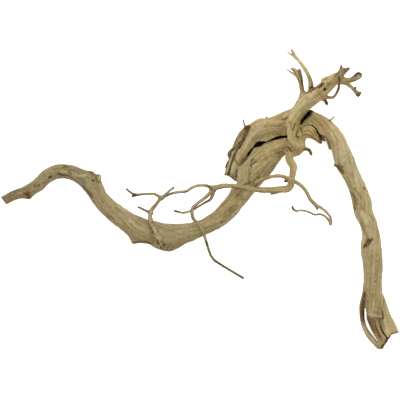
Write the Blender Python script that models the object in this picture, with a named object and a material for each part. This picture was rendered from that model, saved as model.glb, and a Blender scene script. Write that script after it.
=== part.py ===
"""A spiderwood root: one grown piece of stripped, pale wood, lying on a table.

The root lies as it would be set down, seen from above: +X runs along its length to the forked foot,
+Y across it to the crossing branch, and +Z up. The tables below give each limb's centre line and radius
in millimetres, at the size that was read for the whole root, and the model is in metres.
The origin is under the middle of the root's box, on the table.
"""

import math

import bmesh
import bpy
import numpy as np
from mathutils import Matrix, Vector

MM = 0.001

# How finely the stout limbs are built, in millimetres
BODY_VOXEL = 1.5
FORK_FILLET = 1.6
BODY_SIDES = 28
BODY_STEP = 3.0
SMOOTH_ROUNDS = 3
BODY_TRIANGLES = 5550

# Twigs get a ring of points at every SLIM_STEP millimetres plus this share of their radius.
# The sides of each ring go by the twig's widest radius, from the stoutest down.
SLIM_STEP = 3.2
SLIM_STEP_SHARE = 1.5
SLIM_SIDES = ((4.0, 9), (2.3, 7), (0.0, 6))

# A limb's blunt end: each closing ring's distance past the last point, and its radius, as shares of the radius
BLUNT_END = ((0.28, 0.82), (0.46, 0.45))

# Each stout limb's flutes start at their own angle
PHASE_STEP = 1.7

# Flutes: long shallow ridges that wind slowly round the stout limbs
FLUTE_DEPTH = 0.055
FLUTE_LOBES = (2, 3, 5)
FLUTE_WIND = (0.021, -0.034, 0.027)

# The table is the plane z = 0. Limbs that rest on it dip a little below it and are worn flat there.
SLAB = (600.0, 500.0, 40.0)

WOOD_COLOUR = (0.38, 0.29, 0.15, 1.0)
WOOD_ROUGHNESS = 0.72

# Where the drawing's zero lies from the middle of the root's box, in millimetres
DRAWING_ZERO = (0.8, -1.1, 0.0)

# Each limb is a list of (x, y, height of its centre, radius), in millimetres along its centre line.
# The stout limbs run into each other and share one skin, with a fillet in each fork.
STOUT = {
    # from the sawn tip, over its crest, down through the sag and up into the broad lower lobe
    "trunk": [
        (-246, -2, 17, 5.6), (-231, 5.5, 14, 6.0), (-218, 9, 11, 7.0), (-204, 17, 9, 7.6),
        (-191, 29, 7.5, 8.0), (-180, 34.2, 7.0, 8.0), (-170, 34.6, 7.0, 8.1), (-160, 33, 8.1, 8.4),
        (-150, 28.5, 10.5, 8.9), (-141, 22.5, 13.5, 10.0), (-132.5, 13.5, 16.5, 10.9),
        (-124.5, 0.5, 20, 10.3), (-112, -13, 24, 11.4), (-100, -22.5, 27, 12.2), (-88, -31, 30, 13.2),
        (-75, -38.5, 32, 15.6), (-60, -42.5, 33, 15.6), (-44, -46.5, 34, 16.6), (-35, -46.5, 34, 15.8),
        (-25, -44.5, 33.5, 13.8), (-10, -40.7, 32.5, 11.2), (5, -34.7, 31, 9.8), (20, -26.5, 29.5, 10.3),
        (33, -15.5, 28.5, 11.1), (44, -2.5, 28, 11.2), (50.5, 7, 28, 12.2), (57, 18, 28.5, 14.0),
        (65, 32, 29.5, 17.0), (74, 44, 30.5, 18.5), (84, 54, 31.5, 16.5), (95, 61.5, 33, 12.5),
        (106, 66, 35, 10.5), (117, 69, 37, 10.5),
    ],
    # up beside the lower lobe, over under the crossing branch, and down as the long leg
    "leg": [
        (46, 42, 27, 6.5), (49.5, 51, 29, 8.2), (53.5, 60.5, 31, 9.3), (62, 75, 32, 10.6),
        (73.5, 84.2, 32.5, 11.4), (89.5, 90.3, 32, 12.0), (104.5, 94.5, 30.5, 13.2), (118, 100, 27, 13.0),
        (132, 100.5, 21.5, 12.4), (147, 95.5, 15, 11.8), (160, 87, 11, 11.5), (170.5, 75, 10.4, 11.0),
        (176.5, 60, 12, 11.6), (181.5, 46, 14, 12.6), (185.5, 38.5, 15, 11.6), (190, 29.5, 16.5, 10.6),
        (198, 12, 19, 10.9), (202.7, -3, 20.5, 11.3), (205, -16, 20.5, 10.9), (211, -31, 20, 9.9),
        (214, -45, 19, 10.3), (214.3, -62, 18, 12.2), (216.2, -80, 17, 11.8), (216.7, -100, 15.5, 11.0),
        (217.3, -115, 14, 10.8), (218.5, -130, 13, 10.4), (219.5, -144, 13, 9.4),
    ],
    # up out of the knot, over the leg, to the twigs at the top
    "crossing": [
        (119, 62, 36, 8.5), (117.5, 70, 39, 10.8), (115, 78, 43, 9.8), (114.8, 87, 46.5, 9.0),
        (117.5, 97, 48.5, 8.8), (123.5, 108, 49.5, 9.4), (132.5, 119.5, 51, 10.6), (143, 129, 53, 10.4),
        (152.5, 137.5, 57, 10.2), (161.5, 145.5, 61, 9.0), (170, 151, 65, 6.6), (174.5, 153, 67.5, 5.2),
    ],
    "knot": [(109, 71, 36, 9.5), (121, 67, 36, 9.3)],
    "stub": [
        (122, 80, 38, 9.0), (130, 85.5, 36.5, 8.8), (138.5, 85, 33, 7.8), (145.5, 79, 28, 5.6),
        (150, 73, 24, 4.0),
    ],
    "shoulder": [(109, 99, 36, 8.5), (118, 107, 40, 7.4), (126.5, 117.5, 43, 5.8), (129.6, 129, 46, 4.6)],
    # wood that closes the back of the slit between the lower lobe and the leg's upper end
    "web": [(52, 47, 17, 6.5), (64, 60, 17, 8.0), (78, 71, 18, 9.0), (94, 78, 20, 9.0), (108, 82, 24, 9.0)],
    "sag_corner": [(-76, -42, 31, 10.0), (-81, -49, 30, 6.0), (-82.8, -52.6, 29, 3.6)],
    "sag_burl": [(-47, -50, 34, 13.0), (-39, -52.5, 33, 13.0), (-33, -50, 33, 11.5)],
    "crest_bump": [(-142, 27, 15, 6.5), (-137, 28, 16, 6.5)],
    "crest_nub": [(-131, 19, 20, 5.0), (-128, 24.5, 21, 3.4), (-127, 28.3, 21.5, 2.8)],
    "tip_nub": [(-216, 8, 11, 5.0), (-214.2, 2.6, 11, 2.2)],
    # the torn, hollow foot: two outer prongs and a low tongue between them
    "foot_left": [
        (211, -110, 13, 5.0), (206.8, -121, 12, 3.6), (203.6, -131, 11, 3.1), (202.7, -143, 9.5, 2.6),
        (204.2, -154, 8.2, 2.6), (208.6, -166, 6.4, 2.7), (215, -175.5, 4.0, 2.9), (223, -183, 1.9, 3.2),
    ],
    "foot_tongue": [
        (218, -132, 8, 8.0), (218.4, -150, 6.6, 7.8), (222.8, -165, 5.0, 6.8), (228, -177, 2.8, 5.6),
        (228.8, -184, 1.6, 4.0),
    ],
    "foot_right": [
        (223, -122, 12, 6.0), (228.6, -138, 12, 6.2), (234.6, -153, 11.5, 6.6), (241, -166, 11, 7.0),
    ],
    "foot_jag": [(236, -158, 11, 5.0), (244, -164.5, 11, 3.4), (248, -166.3, 11, 1.8)],
    "foot_rim": [(237.5, -167, 8.6, 3.8), (234, -176, 5.4, 3.4), (229.6, -184.6, 2.0, 3.2)],
}

# How thick each flattened limb is, upwards, as a share of its width
FLATTENED = {
    "foot_tongue": 0.62,
    "foot_right": 0.55,
    "foot_jag": 0.8,
    "bark_outer": 0.7,
    "bark_broad": 0.55,
    "bark_mid": 0.75,
}

# Twigs, spurs and torn strips of bark, each rooted well inside the limb that it grows from.
SLIM = {
    # the front root, from the knot round its elbow and across the trunk to its fork
    "front_root": [
        (114, 63, 40, 7.0), (111.7, 55, 43, 5.1), (112, 48.5, 46, 4.6), (116.4, 40.8, 50, 4.4),
        (116, 33, 53, 4.0), (114.6, 26, 54, 3.9), (113.8, 18.5, 53.4, 4.2), (109.6, 12.8, 52, 4.2),
        (101, 11.8, 50, 3.9), (90, 11.2, 47.5, 3.4), (79, 11.2, 45, 3.4), (69, 12, 43, 3.2),
        (59, 14, 41.8, 3.0), (49, 15.8, 41.2, 2.6), (39, 16.6, 42, 2.5), (29, 16.2, 43.5, 2.8),
        (20, 14.3, 45, 2.9), (14.5, 12.6, 46, 2.6),
    ],
    "left_twig": [
        (18, 13.6, 45, 2.5), (12, 15.5, 46.5, 2.1), (4.5, 17.2, 48, 1.9), (-3, 16.8, 50, 1.8),
        (-10.5, 14.2, 51, 1.7), (-17, 9.8, 51, 1.7), (-26, 8.8, 50, 1.6), (-35, 7, 49.5, 1.6),
        (-43, 3.8, 49.5, 1.8), (-48.5, 0.8, 50, 2.0), (-55, -7, 50.5, 2.0), (-60.8, -14.5, 51, 2.5),
        (-62.3, -22, 50.5, 2.3), (-61, -29, 49.5, 2.9), (-57, -40, 48.8, 3.4), (-53, -51, 46.5, 3.8),
        (-48, -59, 41, 4.0),
    ],
    "left_twig_spur": [
        (-48.5, 0.6, 50, 1.7), (-43, 6, 52, 1.4), (-38, 10.3, 54, 1.3), (-32.8, 14.2, 57, 1.2),
    ],
    "left_twig_end": [
        (-47.5, 1, 50, 1.7), (-52.5, 3.9, 49.5, 1.7), (-56, 6, 49, 1.5), (-63, 6.4, 48, 1.4),
        (-72, 6, 46.5, 1.3), (-80, 5.2, 45, 1.5), (-86, 7.8, 43.5, 1.3), (-92, 12.5, 42, 1.1),
    ],
    "left_twig_fork": [(-79.5, 5.5, 45, 1.3), (-84.8, 2.8, 44.5, 1.0)],
    "left_twig_side": [
        (-61, -17.5, 51, 2.0), (-66, -15.3, 52, 1.5), (-71, -12.7, 53.5, 1.3), (-77, -10, 55, 1.0),
    ],
    "long_twig": [
        (17, 13, 45, 2.6), (10.5, 5.5, 47, 2.1), (3.5, -0.5, 49, 1.8), (-4, -6, 50.5, 1.8),
        (-9.3, -11.5, 51, 1.9), (-9.9, -18.5, 50, 2.0), (-7.8, -25.5, 48, 1.9), (-2.5, -30.5, 45.5, 1.7),
        (2, -37.5, 43.4, 1.6), (5.5, -46, 40.5, 1.6), (8.3, -55, 37, 1.6), (10.8, -63, 33.5, 1.5),
        (13.2, -70, 30, 1.5), (17, -75.5, 27, 1.5), (26, -82, 22, 1.5), (39, -90, 16, 1.5),
        (54, -99, 9.5, 1.4),
    ],
    "hooked_twig": [
        (17.5, 12, 44.5, 2.4), (15.6, 4, 42.5, 1.8), (13.2, -0.3, 41.5, 1.6), (6, -4.6, 41.5, 1.4),
        (-2, -9.5, 42, 1.3), (-8, -13.2, 42.5, 1.3), (-15, -16, 43.5, 1.3), (-22, -17.2, 45, 1.3),
        (-27.5, -16, 46.5, 1.4), (-31.5, -15, 48, 1.3),
    ],
    "right_twig": [
        (58, 21, 38, 3.4), (66, 18.9, 44.5, 2.3), (74, 22.5, 50, 2.0), (83, 26.3, 54, 2.0),
        (92, 28.4, 58, 1.9), (101, 28.6, 61.5, 1.9), (110, 25.8, 64, 2.2), (119, 21.5, 65, 2.2),
        (128.5, 14.5, 64.5, 2.1), (134, 6.5, 63, 2.1), (138, -1, 61, 2.1), (144, -7, 58.5, 1.9),
        (151, -10.8, 55, 1.7), (157.5, -16, 51, 1.6), (162.2, -22, 47.5, 1.6), (164, -27.5, 45, 1.6),
        (162.8, -32, 43, 1.4),
    ],
    "right_twig_spur": [(142.5, -5, 59, 1.4), (146.3, -13, 56.5, 1.0)],
    "right_twig_return": [
        (163.4, -30.5, 43.5, 1.4), (160.3, -26, 42, 1.3), (156.3, -21.6, 40.5, 1.3), (150, -19, 39, 1.2),
        (143.5, -19.6, 38, 1.2), (137, -16.6, 37, 1.2), (126, -14.2, 36, 1.2), (120, -15, 36, 1.2),
        (116.3, -12.5, 37, 1.5), (115.5, -9.5, 38.5, 1.3),
    ],
    "elbow_nub": [(111, 24.5, 53, 2.4), (106.3, 22.3, 53, 1.5)],
    "elbow_sliver": [(100, 10.5, 49, 1.6), (94, 7.1, 47.5, 1.0), (89, 6, 46.5, 0.8)],
    "knot_nub": [(126, 63, 36, 3.0), (133, 62.5, 37, 2.0), (136.5, 61, 38, 1.9), (138.8, 56, 40, 1.7)],
    "fork_twig": [
        (128, 126, 45, 4.4), (127.6, 135, 50, 3.0), (125.4, 144, 55, 2.4), (122.6, 152, 60, 2.4),
        (119.5, 159.5, 65, 2.3), (114.8, 162.6, 69, 1.8),
    ],
    "fork_twig_right": [(126.6, 140, 53, 2.2), (126, 153, 60, 1.9), (124.4, 161.5, 64, 1.3)],
    "fork_twig_left": [(123.2, 150.5, 60, 1.3), (116, 156, 66, 1.0), (109, 161, 70, 0.9)],
    "tall_twig": [
        (137, 127, 46, 5.0), (138.3, 137, 51, 3.5), (138.3, 144, 56, 3.0), (136, 152, 63, 2.7),
        (131.5, 161, 72, 2.5), (126.5, 168.5, 80, 2.3), (121, 175.5, 87, 2.1), (117.5, 181, 93, 1.9),
        (113.8, 187, 99, 1.7),
    ],
    "tall_twig_side": [(120.5, 175, 88, 1.5), (115, 179, 92, 1.1), (109, 183.5, 97, 1.0)],
    "end_up": [
        (170, 150, 65, 5.2), (175, 155.5, 70, 4.6), (178.6, 160.5, 75, 4.5), (180.4, 163.6, 78, 4.2),
    ],
    "end_up_left": [(176, 158, 73, 2.4), (175.7, 166.8, 80, 0.9)],
    "end_up_right": [(180, 159.5, 76, 2.8), (185.2, 162.2, 80, 1.6)],
    "end_right": [
        (171, 149, 65, 5.0), (180, 147.6, 68, 3.7), (187, 148, 72, 3.4), (193, 150.5, 77, 3.6),
        (197.2, 153.8, 82, 4.6),
    ],
    "end_low": [
        (172, 148, 64, 4.4), (184, 144, 65, 3.1), (190, 139, 66, 2.9), (195, 133.5, 67, 2.9),
        (199, 128.6, 68, 2.4),
    ],
    "end_low_spur": [(196.5, 130.5, 67, 1.8), (200.6, 133, 68, 0.9)],
    "end_loop": [
        (172.4, 153, 69, 2.0), (173, 146, 74, 1.7), (173, 139, 75, 1.6), (170.5, 132.5, 72, 1.5),
        (166, 126.8, 66, 1.6), (160, 126.6, 60, 1.9), (152, 127, 54, 2.6),
    ],
    "end_nub": [(151, 127, 51, 3.2), (156.5, 122.6, 49, 1.9), (158.4, 118.8, 48, 1.8)],
    "bark_outer": [
        (60.5, 91, 28, 2.0), (55, 84.5, 29, 4.4), (49, 74.5, 28.5, 4.9), (44.5, 65, 27, 4.6),
        (42, 57, 25.5, 3.4),
    ],
    "bark_lump": [(40.5, 61.5, 26.5, 3.0), (37.6, 56.5, 26, 3.5), (38.6, 50, 25.5, 2.6), (41, 46, 26, 2.4)],
    "bark_edge": [(40, 51, 26, 2.0), (35.6, 45, 25, 1.9), (32.8, 39, 24, 1.4)],
    "bark_mid": [
        (45, 62, 30, 2.6), (40.4, 50, 29, 2.7), (37.2, 40, 27.5, 2.7), (34.4, 31.4, 26, 2.6),
        (33.2, 28.8, 25.6, 1.8),
    ],
    "bark_inner": [(49, 66, 34, 2.4), (44, 54, 33.5, 2.0), (40.6, 43, 31.5, 1.8), (37.6, 33, 29.5, 1.6)],
    "bark_broad": [
        (47, 51, 29, 3.4), (43.6, 41, 28, 4.4), (41.8, 33, 27, 4.9), (42.6, 26.5, 26.4, 4.0),
        (44.4, 23.8, 26, 2.6),
    ],
    "bark_spike": [(58, 89, 28, 2.6), (55.2, 94, 31, 1.5), (54.2, 99, 34, 1.1)],
    "bark_top": [(64, 88, 27, 5.0), (70, 94.5, 27, 3.8), (76.5, 98, 27.5, 3.0), (83, 98.5, 28, 2.2)],
    "leg_spur": [(178, 46, 15, 4.0), (172, 43.4, 16, 2.4), (168.6, 42.2, 17, 1.3)],
    "leg_lip": [
        (146, 87, 24, 3.0), (152.6, 81, 22, 2.6), (157.6, 76.6, 20, 2.2), (160.8, 70, 17.5, 1.7),
        (162.6, 63, 15, 1.2),
    ],
}


def centre_line(points, step):
    """The limb's centre line as a smooth curve, in rows of (x, y, z, radius) about step apart."""
    table = np.array(points, float)
    spans = np.linalg.norm(np.diff(table[:, :3], axis=0), axis=1)
    slopes = np.diff(table, axis=0) / spans[:, None]
    tangents = np.empty_like(table)
    tangents[0] = slopes[0]
    tangents[-1] = slopes[-1]
    share = (spans[1:] / (spans[:-1] + spans[1:]))[:, None]
    tangents[1:-1] = slopes[:-1] * share + slopes[1:] * (1 - share)
    rows = []
    for start, end, into, out, span in zip(table[:-1], table[1:], tangents[:-1], tangents[1:], spans):
        count = max(1, round(span / step))
        for t in np.arange(count) / count:
            a = (1 + 2 * t) * (1 - t) ** 2 * start + t * (1 - t) ** 2 * span * into
            rows.append(a + t * t * (3 - 2 * t) * end + t * t * (t - 1) * span * out)
    rows.append(table[-1])
    return np.array(rows)


def flute(angle, along, phase):
    """The share by which the radius grows or shrinks at this angle round the limb and distance along it."""
    waves = [
        math.sin(lobes * angle + wind * along + phase * (k + 1)) / (k + 1)
        for k, (lobes, wind) in enumerate(zip(FLUTE_LOBES, FLUTE_WIND))
    ]
    return 1 + FLUTE_DEPTH * sum(waves)


def add_limb(bm, points, sides, step, flat=1.0, phase=None):
    """A closed tube along the limb, with blunt ends. Without a phase its section is plain."""
    rows = centre_line(points, step)
    centres = [Vector(row[:3]) for row in rows]
    radii = [row[3] for row in rows]
    first = (centres[1] - centres[0]).normalized() * radii[0]
    last = (centres[-1] - centres[-2]).normalized() * radii[-1]
    before = [(centres[0] - first * reach, radii[0] * width) for reach, width in reversed(BLUNT_END)]
    after = [(centres[-1] + last * reach, radii[-1] * width) for reach, width in BLUNT_END]
    stations = before + list(zip(centres, radii)) + after
    rings = []
    along = 0.0
    for k, (centre, radius) in enumerate(stations):
        behind = stations[max(k - 1, 0)][0]
        ahead = stations[min(k + 1, len(stations) - 1)][0]
        heading = (ahead - behind).normalized()
        along += (centre - behind).length
        up = (Vector((0, 0, 1)) - heading * heading.z).normalized()
        side = heading.cross(up)
        ring = []
        for n in range(sides):
            angle = math.tau * n / sides
            size = radius * (1 if phase is None else flute(angle, along, phase))
            offset = side * math.cos(angle) + up * (flat * math.sin(angle))
            ring.append(bm.verts.new((centre + offset * size) * MM))
        rings.append(ring)
    for one, other in zip(rings[:-1], rings[1:]):
        for n in range(sides):
            m = (n + 1) % sides
            bm.faces.new((one[n], one[m], other[m], other[n]))
    bm.faces.new(list(reversed(rings[0])))
    bm.faces.new(rings[-1])


def mesh_object(name, bm, collection):
    """The bmesh as an object, with its faces pointing out."""
    bmesh.ops.recalc_face_normals(bm, faces=bm.faces)
    mesh = bpy.data.meshes.new(name)
    bm.to_mesh(mesh)
    bm.free()
    obj = bpy.data.objects.new(name, mesh)
    collection.objects.link(obj)
    return obj


def apply_modifiers(obj):
    """Swaps the object's mesh for what its modifiers make of it."""
    graph = bpy.context.evaluated_depsgraph_get()
    made = bpy.data.meshes.new_from_object(obj.evaluated_get(graph))
    obj.modifiers.clear()
    old = obj.data
    obj.data = made
    bpy.data.meshes.remove(old)


def add_remesh(obj):
    remesh = obj.modifiers.new("one_skin", "REMESH")
    remesh.mode = "VOXEL"
    remesh.voxel_size = BODY_VOXEL * MM
    remesh.use_smooth_shade = True


def add_swell(obj, millimetres):
    swell = obj.modifiers.new("swell", "DISPLACE")
    swell.strength = millimetres * MM
    swell.mid_level = 0.0


def make_body(scene_collection):
    """The stout limbs in one skin. Swelling and shrinking it back leaves a fillet in each fork."""
    bm = bmesh.new()
    for k, (name, points) in enumerate(STOUT.items()):
        add_limb(bm, points, BODY_SIDES, BODY_STEP, FLATTENED.get(name, 1.0), phase=PHASE_STEP * k)
    body = mesh_object("spiderwood_root", bm, scene_collection)
    add_remesh(body)
    add_swell(body, FORK_FILLET)
    add_remesh(body)
    add_swell(body, -FORK_FILLET)
    add_remesh(body)
    smooth = body.modifiers.new("smooth", "SMOOTH")
    smooth.factor = 0.5
    smooth.iterations = SMOOTH_ROUNDS
    apply_modifiers(body)
    body.data.calc_loop_triangles()
    thin = body.modifiers.new("fewer_faces", "DECIMATE")
    thin.ratio = BODY_TRIANGLES / len(body.data.loop_triangles)
    thin.use_collapse_triangulate = True
    apply_modifiers(body)
    return body


def fuse_slim_limbs(body):
    """Joins the twigs and bark strips to the body as one solid."""
    fused = bpy.data.collections.new("fused_on")
    bpy.context.scene.collection.children.link(fused)
    for name, points in SLIM.items():
        bm = bmesh.new()
        radii = [radius for _, _, _, radius in points]
        sides = next(count for least, count in SLIM_SIDES if max(radii) > least)
        step = SLIM_STEP + SLIM_STEP_SHARE * sum(radii) / len(radii)
        add_limb(bm, points, sides, step, FLATTENED.get(name, 1.0))
        mesh_object(name, bm, fused)
    union = body.modifiers.new("fuse", "BOOLEAN")
    union.operation = "UNION"
    union.operand_type = "COLLECTION"
    union.collection = fused
    union.solver = "EXACT"
    apply_modifiers(body)
    for obj in list(fused.objects):
        bpy.data.objects.remove(obj)
    bpy.data.collections.remove(fused)


def keep_largest_piece(body):
    """Fills the tiny hollows, and drops the loose crumbs, that fusing can leave where limbs just meet."""
    bm = bmesh.new()
    bm.from_mesh(body.data)
    unseen = set(bm.verts)
    pieces = []
    while unseen:
        reach = [unseen.pop()]
        piece = []
        while reach:
            vert = reach.pop()
            piece.append(vert)
            near = {edge.other_vert(vert) for edge in vert.link_edges} & unseen
            unseen -= near
            reach.extend(near)
        pieces.append(piece)
    pieces.sort(key=len)
    loose = [vert for piece in pieces[:-1] for vert in piece]
    bmesh.ops.delete(bm, geom=loose, context="VERTS")
    bm.to_mesh(body.data)
    bm.free()


def wear_flat(body, scene_collection):
    """Cuts away what dips below the table, which leaves the flat spots that the root rests on."""
    bm = bmesh.new()
    bmesh.ops.create_cube(bm, size=1.0)
    bmesh.ops.scale(bm, vec=Vector(SLAB) * MM, verts=bm.verts)
    bmesh.ops.translate(bm, vec=Vector((0, 0, -SLAB[2] / 2)) * MM, verts=bm.verts)
    slab = mesh_object("table_cutter", bm, scene_collection)
    cut = body.modifiers.new("wear", "BOOLEAN")
    cut.operation = "DIFFERENCE"
    cut.object = slab
    cut.solver = "EXACT"
    apply_modifiers(body)
    bpy.data.objects.remove(slab)


def wood():
    material = bpy.data.materials.new("stripped_root_wood")
    material.use_nodes = True
    shader = material.node_tree.nodes["Principled BSDF"]
    shader.inputs["Base Color"].default_value = WOOD_COLOUR
    shader.inputs["Roughness"].default_value = WOOD_ROUGHNESS
    shader.inputs["Metallic"].default_value = 0.0
    material.diffuse_color = WOOD_COLOUR
    return material


def main():
    for obj in list(bpy.data.objects):
        bpy.data.objects.remove(obj)
    scene_collection = bpy.context.scene.collection
    root = make_body(scene_collection)
    fuse_slim_limbs(root)
    keep_largest_piece(root)
    wear_flat(root, scene_collection)
    root.data.transform(Matrix.Translation(Vector(DRAWING_ZERO) * MM))
    root.data.materials.clear()
    root.data.materials.append(wood())
    root.data.shade_smooth()


main()
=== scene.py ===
"""The spiderwood root's looks: one fine skin of wood over its limbs, a pale floor, soft light and a camera.

The limbs' centre lines are the frame's own, in millimetres: (x, y, height of the centre, radius).
They are laid into a field of distances, run together in their forks, carved, and meshed as one skin.
Ridges of grain are then raised along each limb, and each point keeps where it lies on its limb,
so that the wood's fibres follow the limbs.
"""

import math

import bmesh
import bpy
import numpy as np
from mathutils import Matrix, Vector


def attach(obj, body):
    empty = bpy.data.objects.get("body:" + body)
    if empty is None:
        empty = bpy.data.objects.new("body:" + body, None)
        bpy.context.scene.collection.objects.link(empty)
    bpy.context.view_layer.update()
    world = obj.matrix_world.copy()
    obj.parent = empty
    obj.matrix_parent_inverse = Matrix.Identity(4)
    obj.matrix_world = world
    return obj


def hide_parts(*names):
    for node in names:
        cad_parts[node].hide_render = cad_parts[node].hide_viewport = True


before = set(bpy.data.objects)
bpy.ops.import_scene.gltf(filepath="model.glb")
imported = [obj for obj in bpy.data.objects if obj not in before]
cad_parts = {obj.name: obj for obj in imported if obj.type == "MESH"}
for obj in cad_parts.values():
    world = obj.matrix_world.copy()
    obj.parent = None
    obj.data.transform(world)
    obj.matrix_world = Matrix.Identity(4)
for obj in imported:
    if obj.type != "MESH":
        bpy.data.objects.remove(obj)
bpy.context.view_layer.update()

MM = 0.001
NODE = "spiderwood_root"

# Where the drawing's zero lies from the middle of the root's box, in millimetres
DRAWING_ZERO = np.array((0.8, -1.1, 0.0))

# The skin, in millimetres
CELL = 0.85
MARGIN = 5.0
FAR = 6.0
SKIN_TRIANGLES = 190000
SWELL = 0.3

# How far apart the points of a smoothed centre line are, in millimetres
STOUT_STEP = 3.0
SLIM_STEP = 2.2
SPLINTER_STEP = 1.5
SLIT_STEP = 2.0

# About the most by which the flutes widen a limb, and the room worked in round a slit
WIDEST = 1.1
SLIT_ROOM = 3.0

# A height above all of the wood, and how far under the highest wood a point is still seen, or is quite hidden
NO_CEILING = 200.0
STILL_SEEN = -2.0
QUITE_HIDDEN = -6.0

# The blobs of a broken end's roughness, and how high above the table the relief is at its full height
BREAK_BLOB = 1.9
FULL_RELIEF = 1.2

# Flutes: long shallow ridges that wind slowly round the stout limbs
FLUTE_DEPTH = 0.055
FLUTE_LOBES = (2, 3, 5)
FLUTE_WIND = (0.021, -0.034, 0.027)
PHASE_STEP = 1.7

# Fillets in the forks, in millimetres
STOUT_FILLET = 6.0
SLIM_FILLET = 2.2
CRISP_FILLET = 1.0
CRISP_LIMBS = ("bark", "foot_fibre", "foot_rib", "foot_right", "plate", "stub_under")

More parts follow.
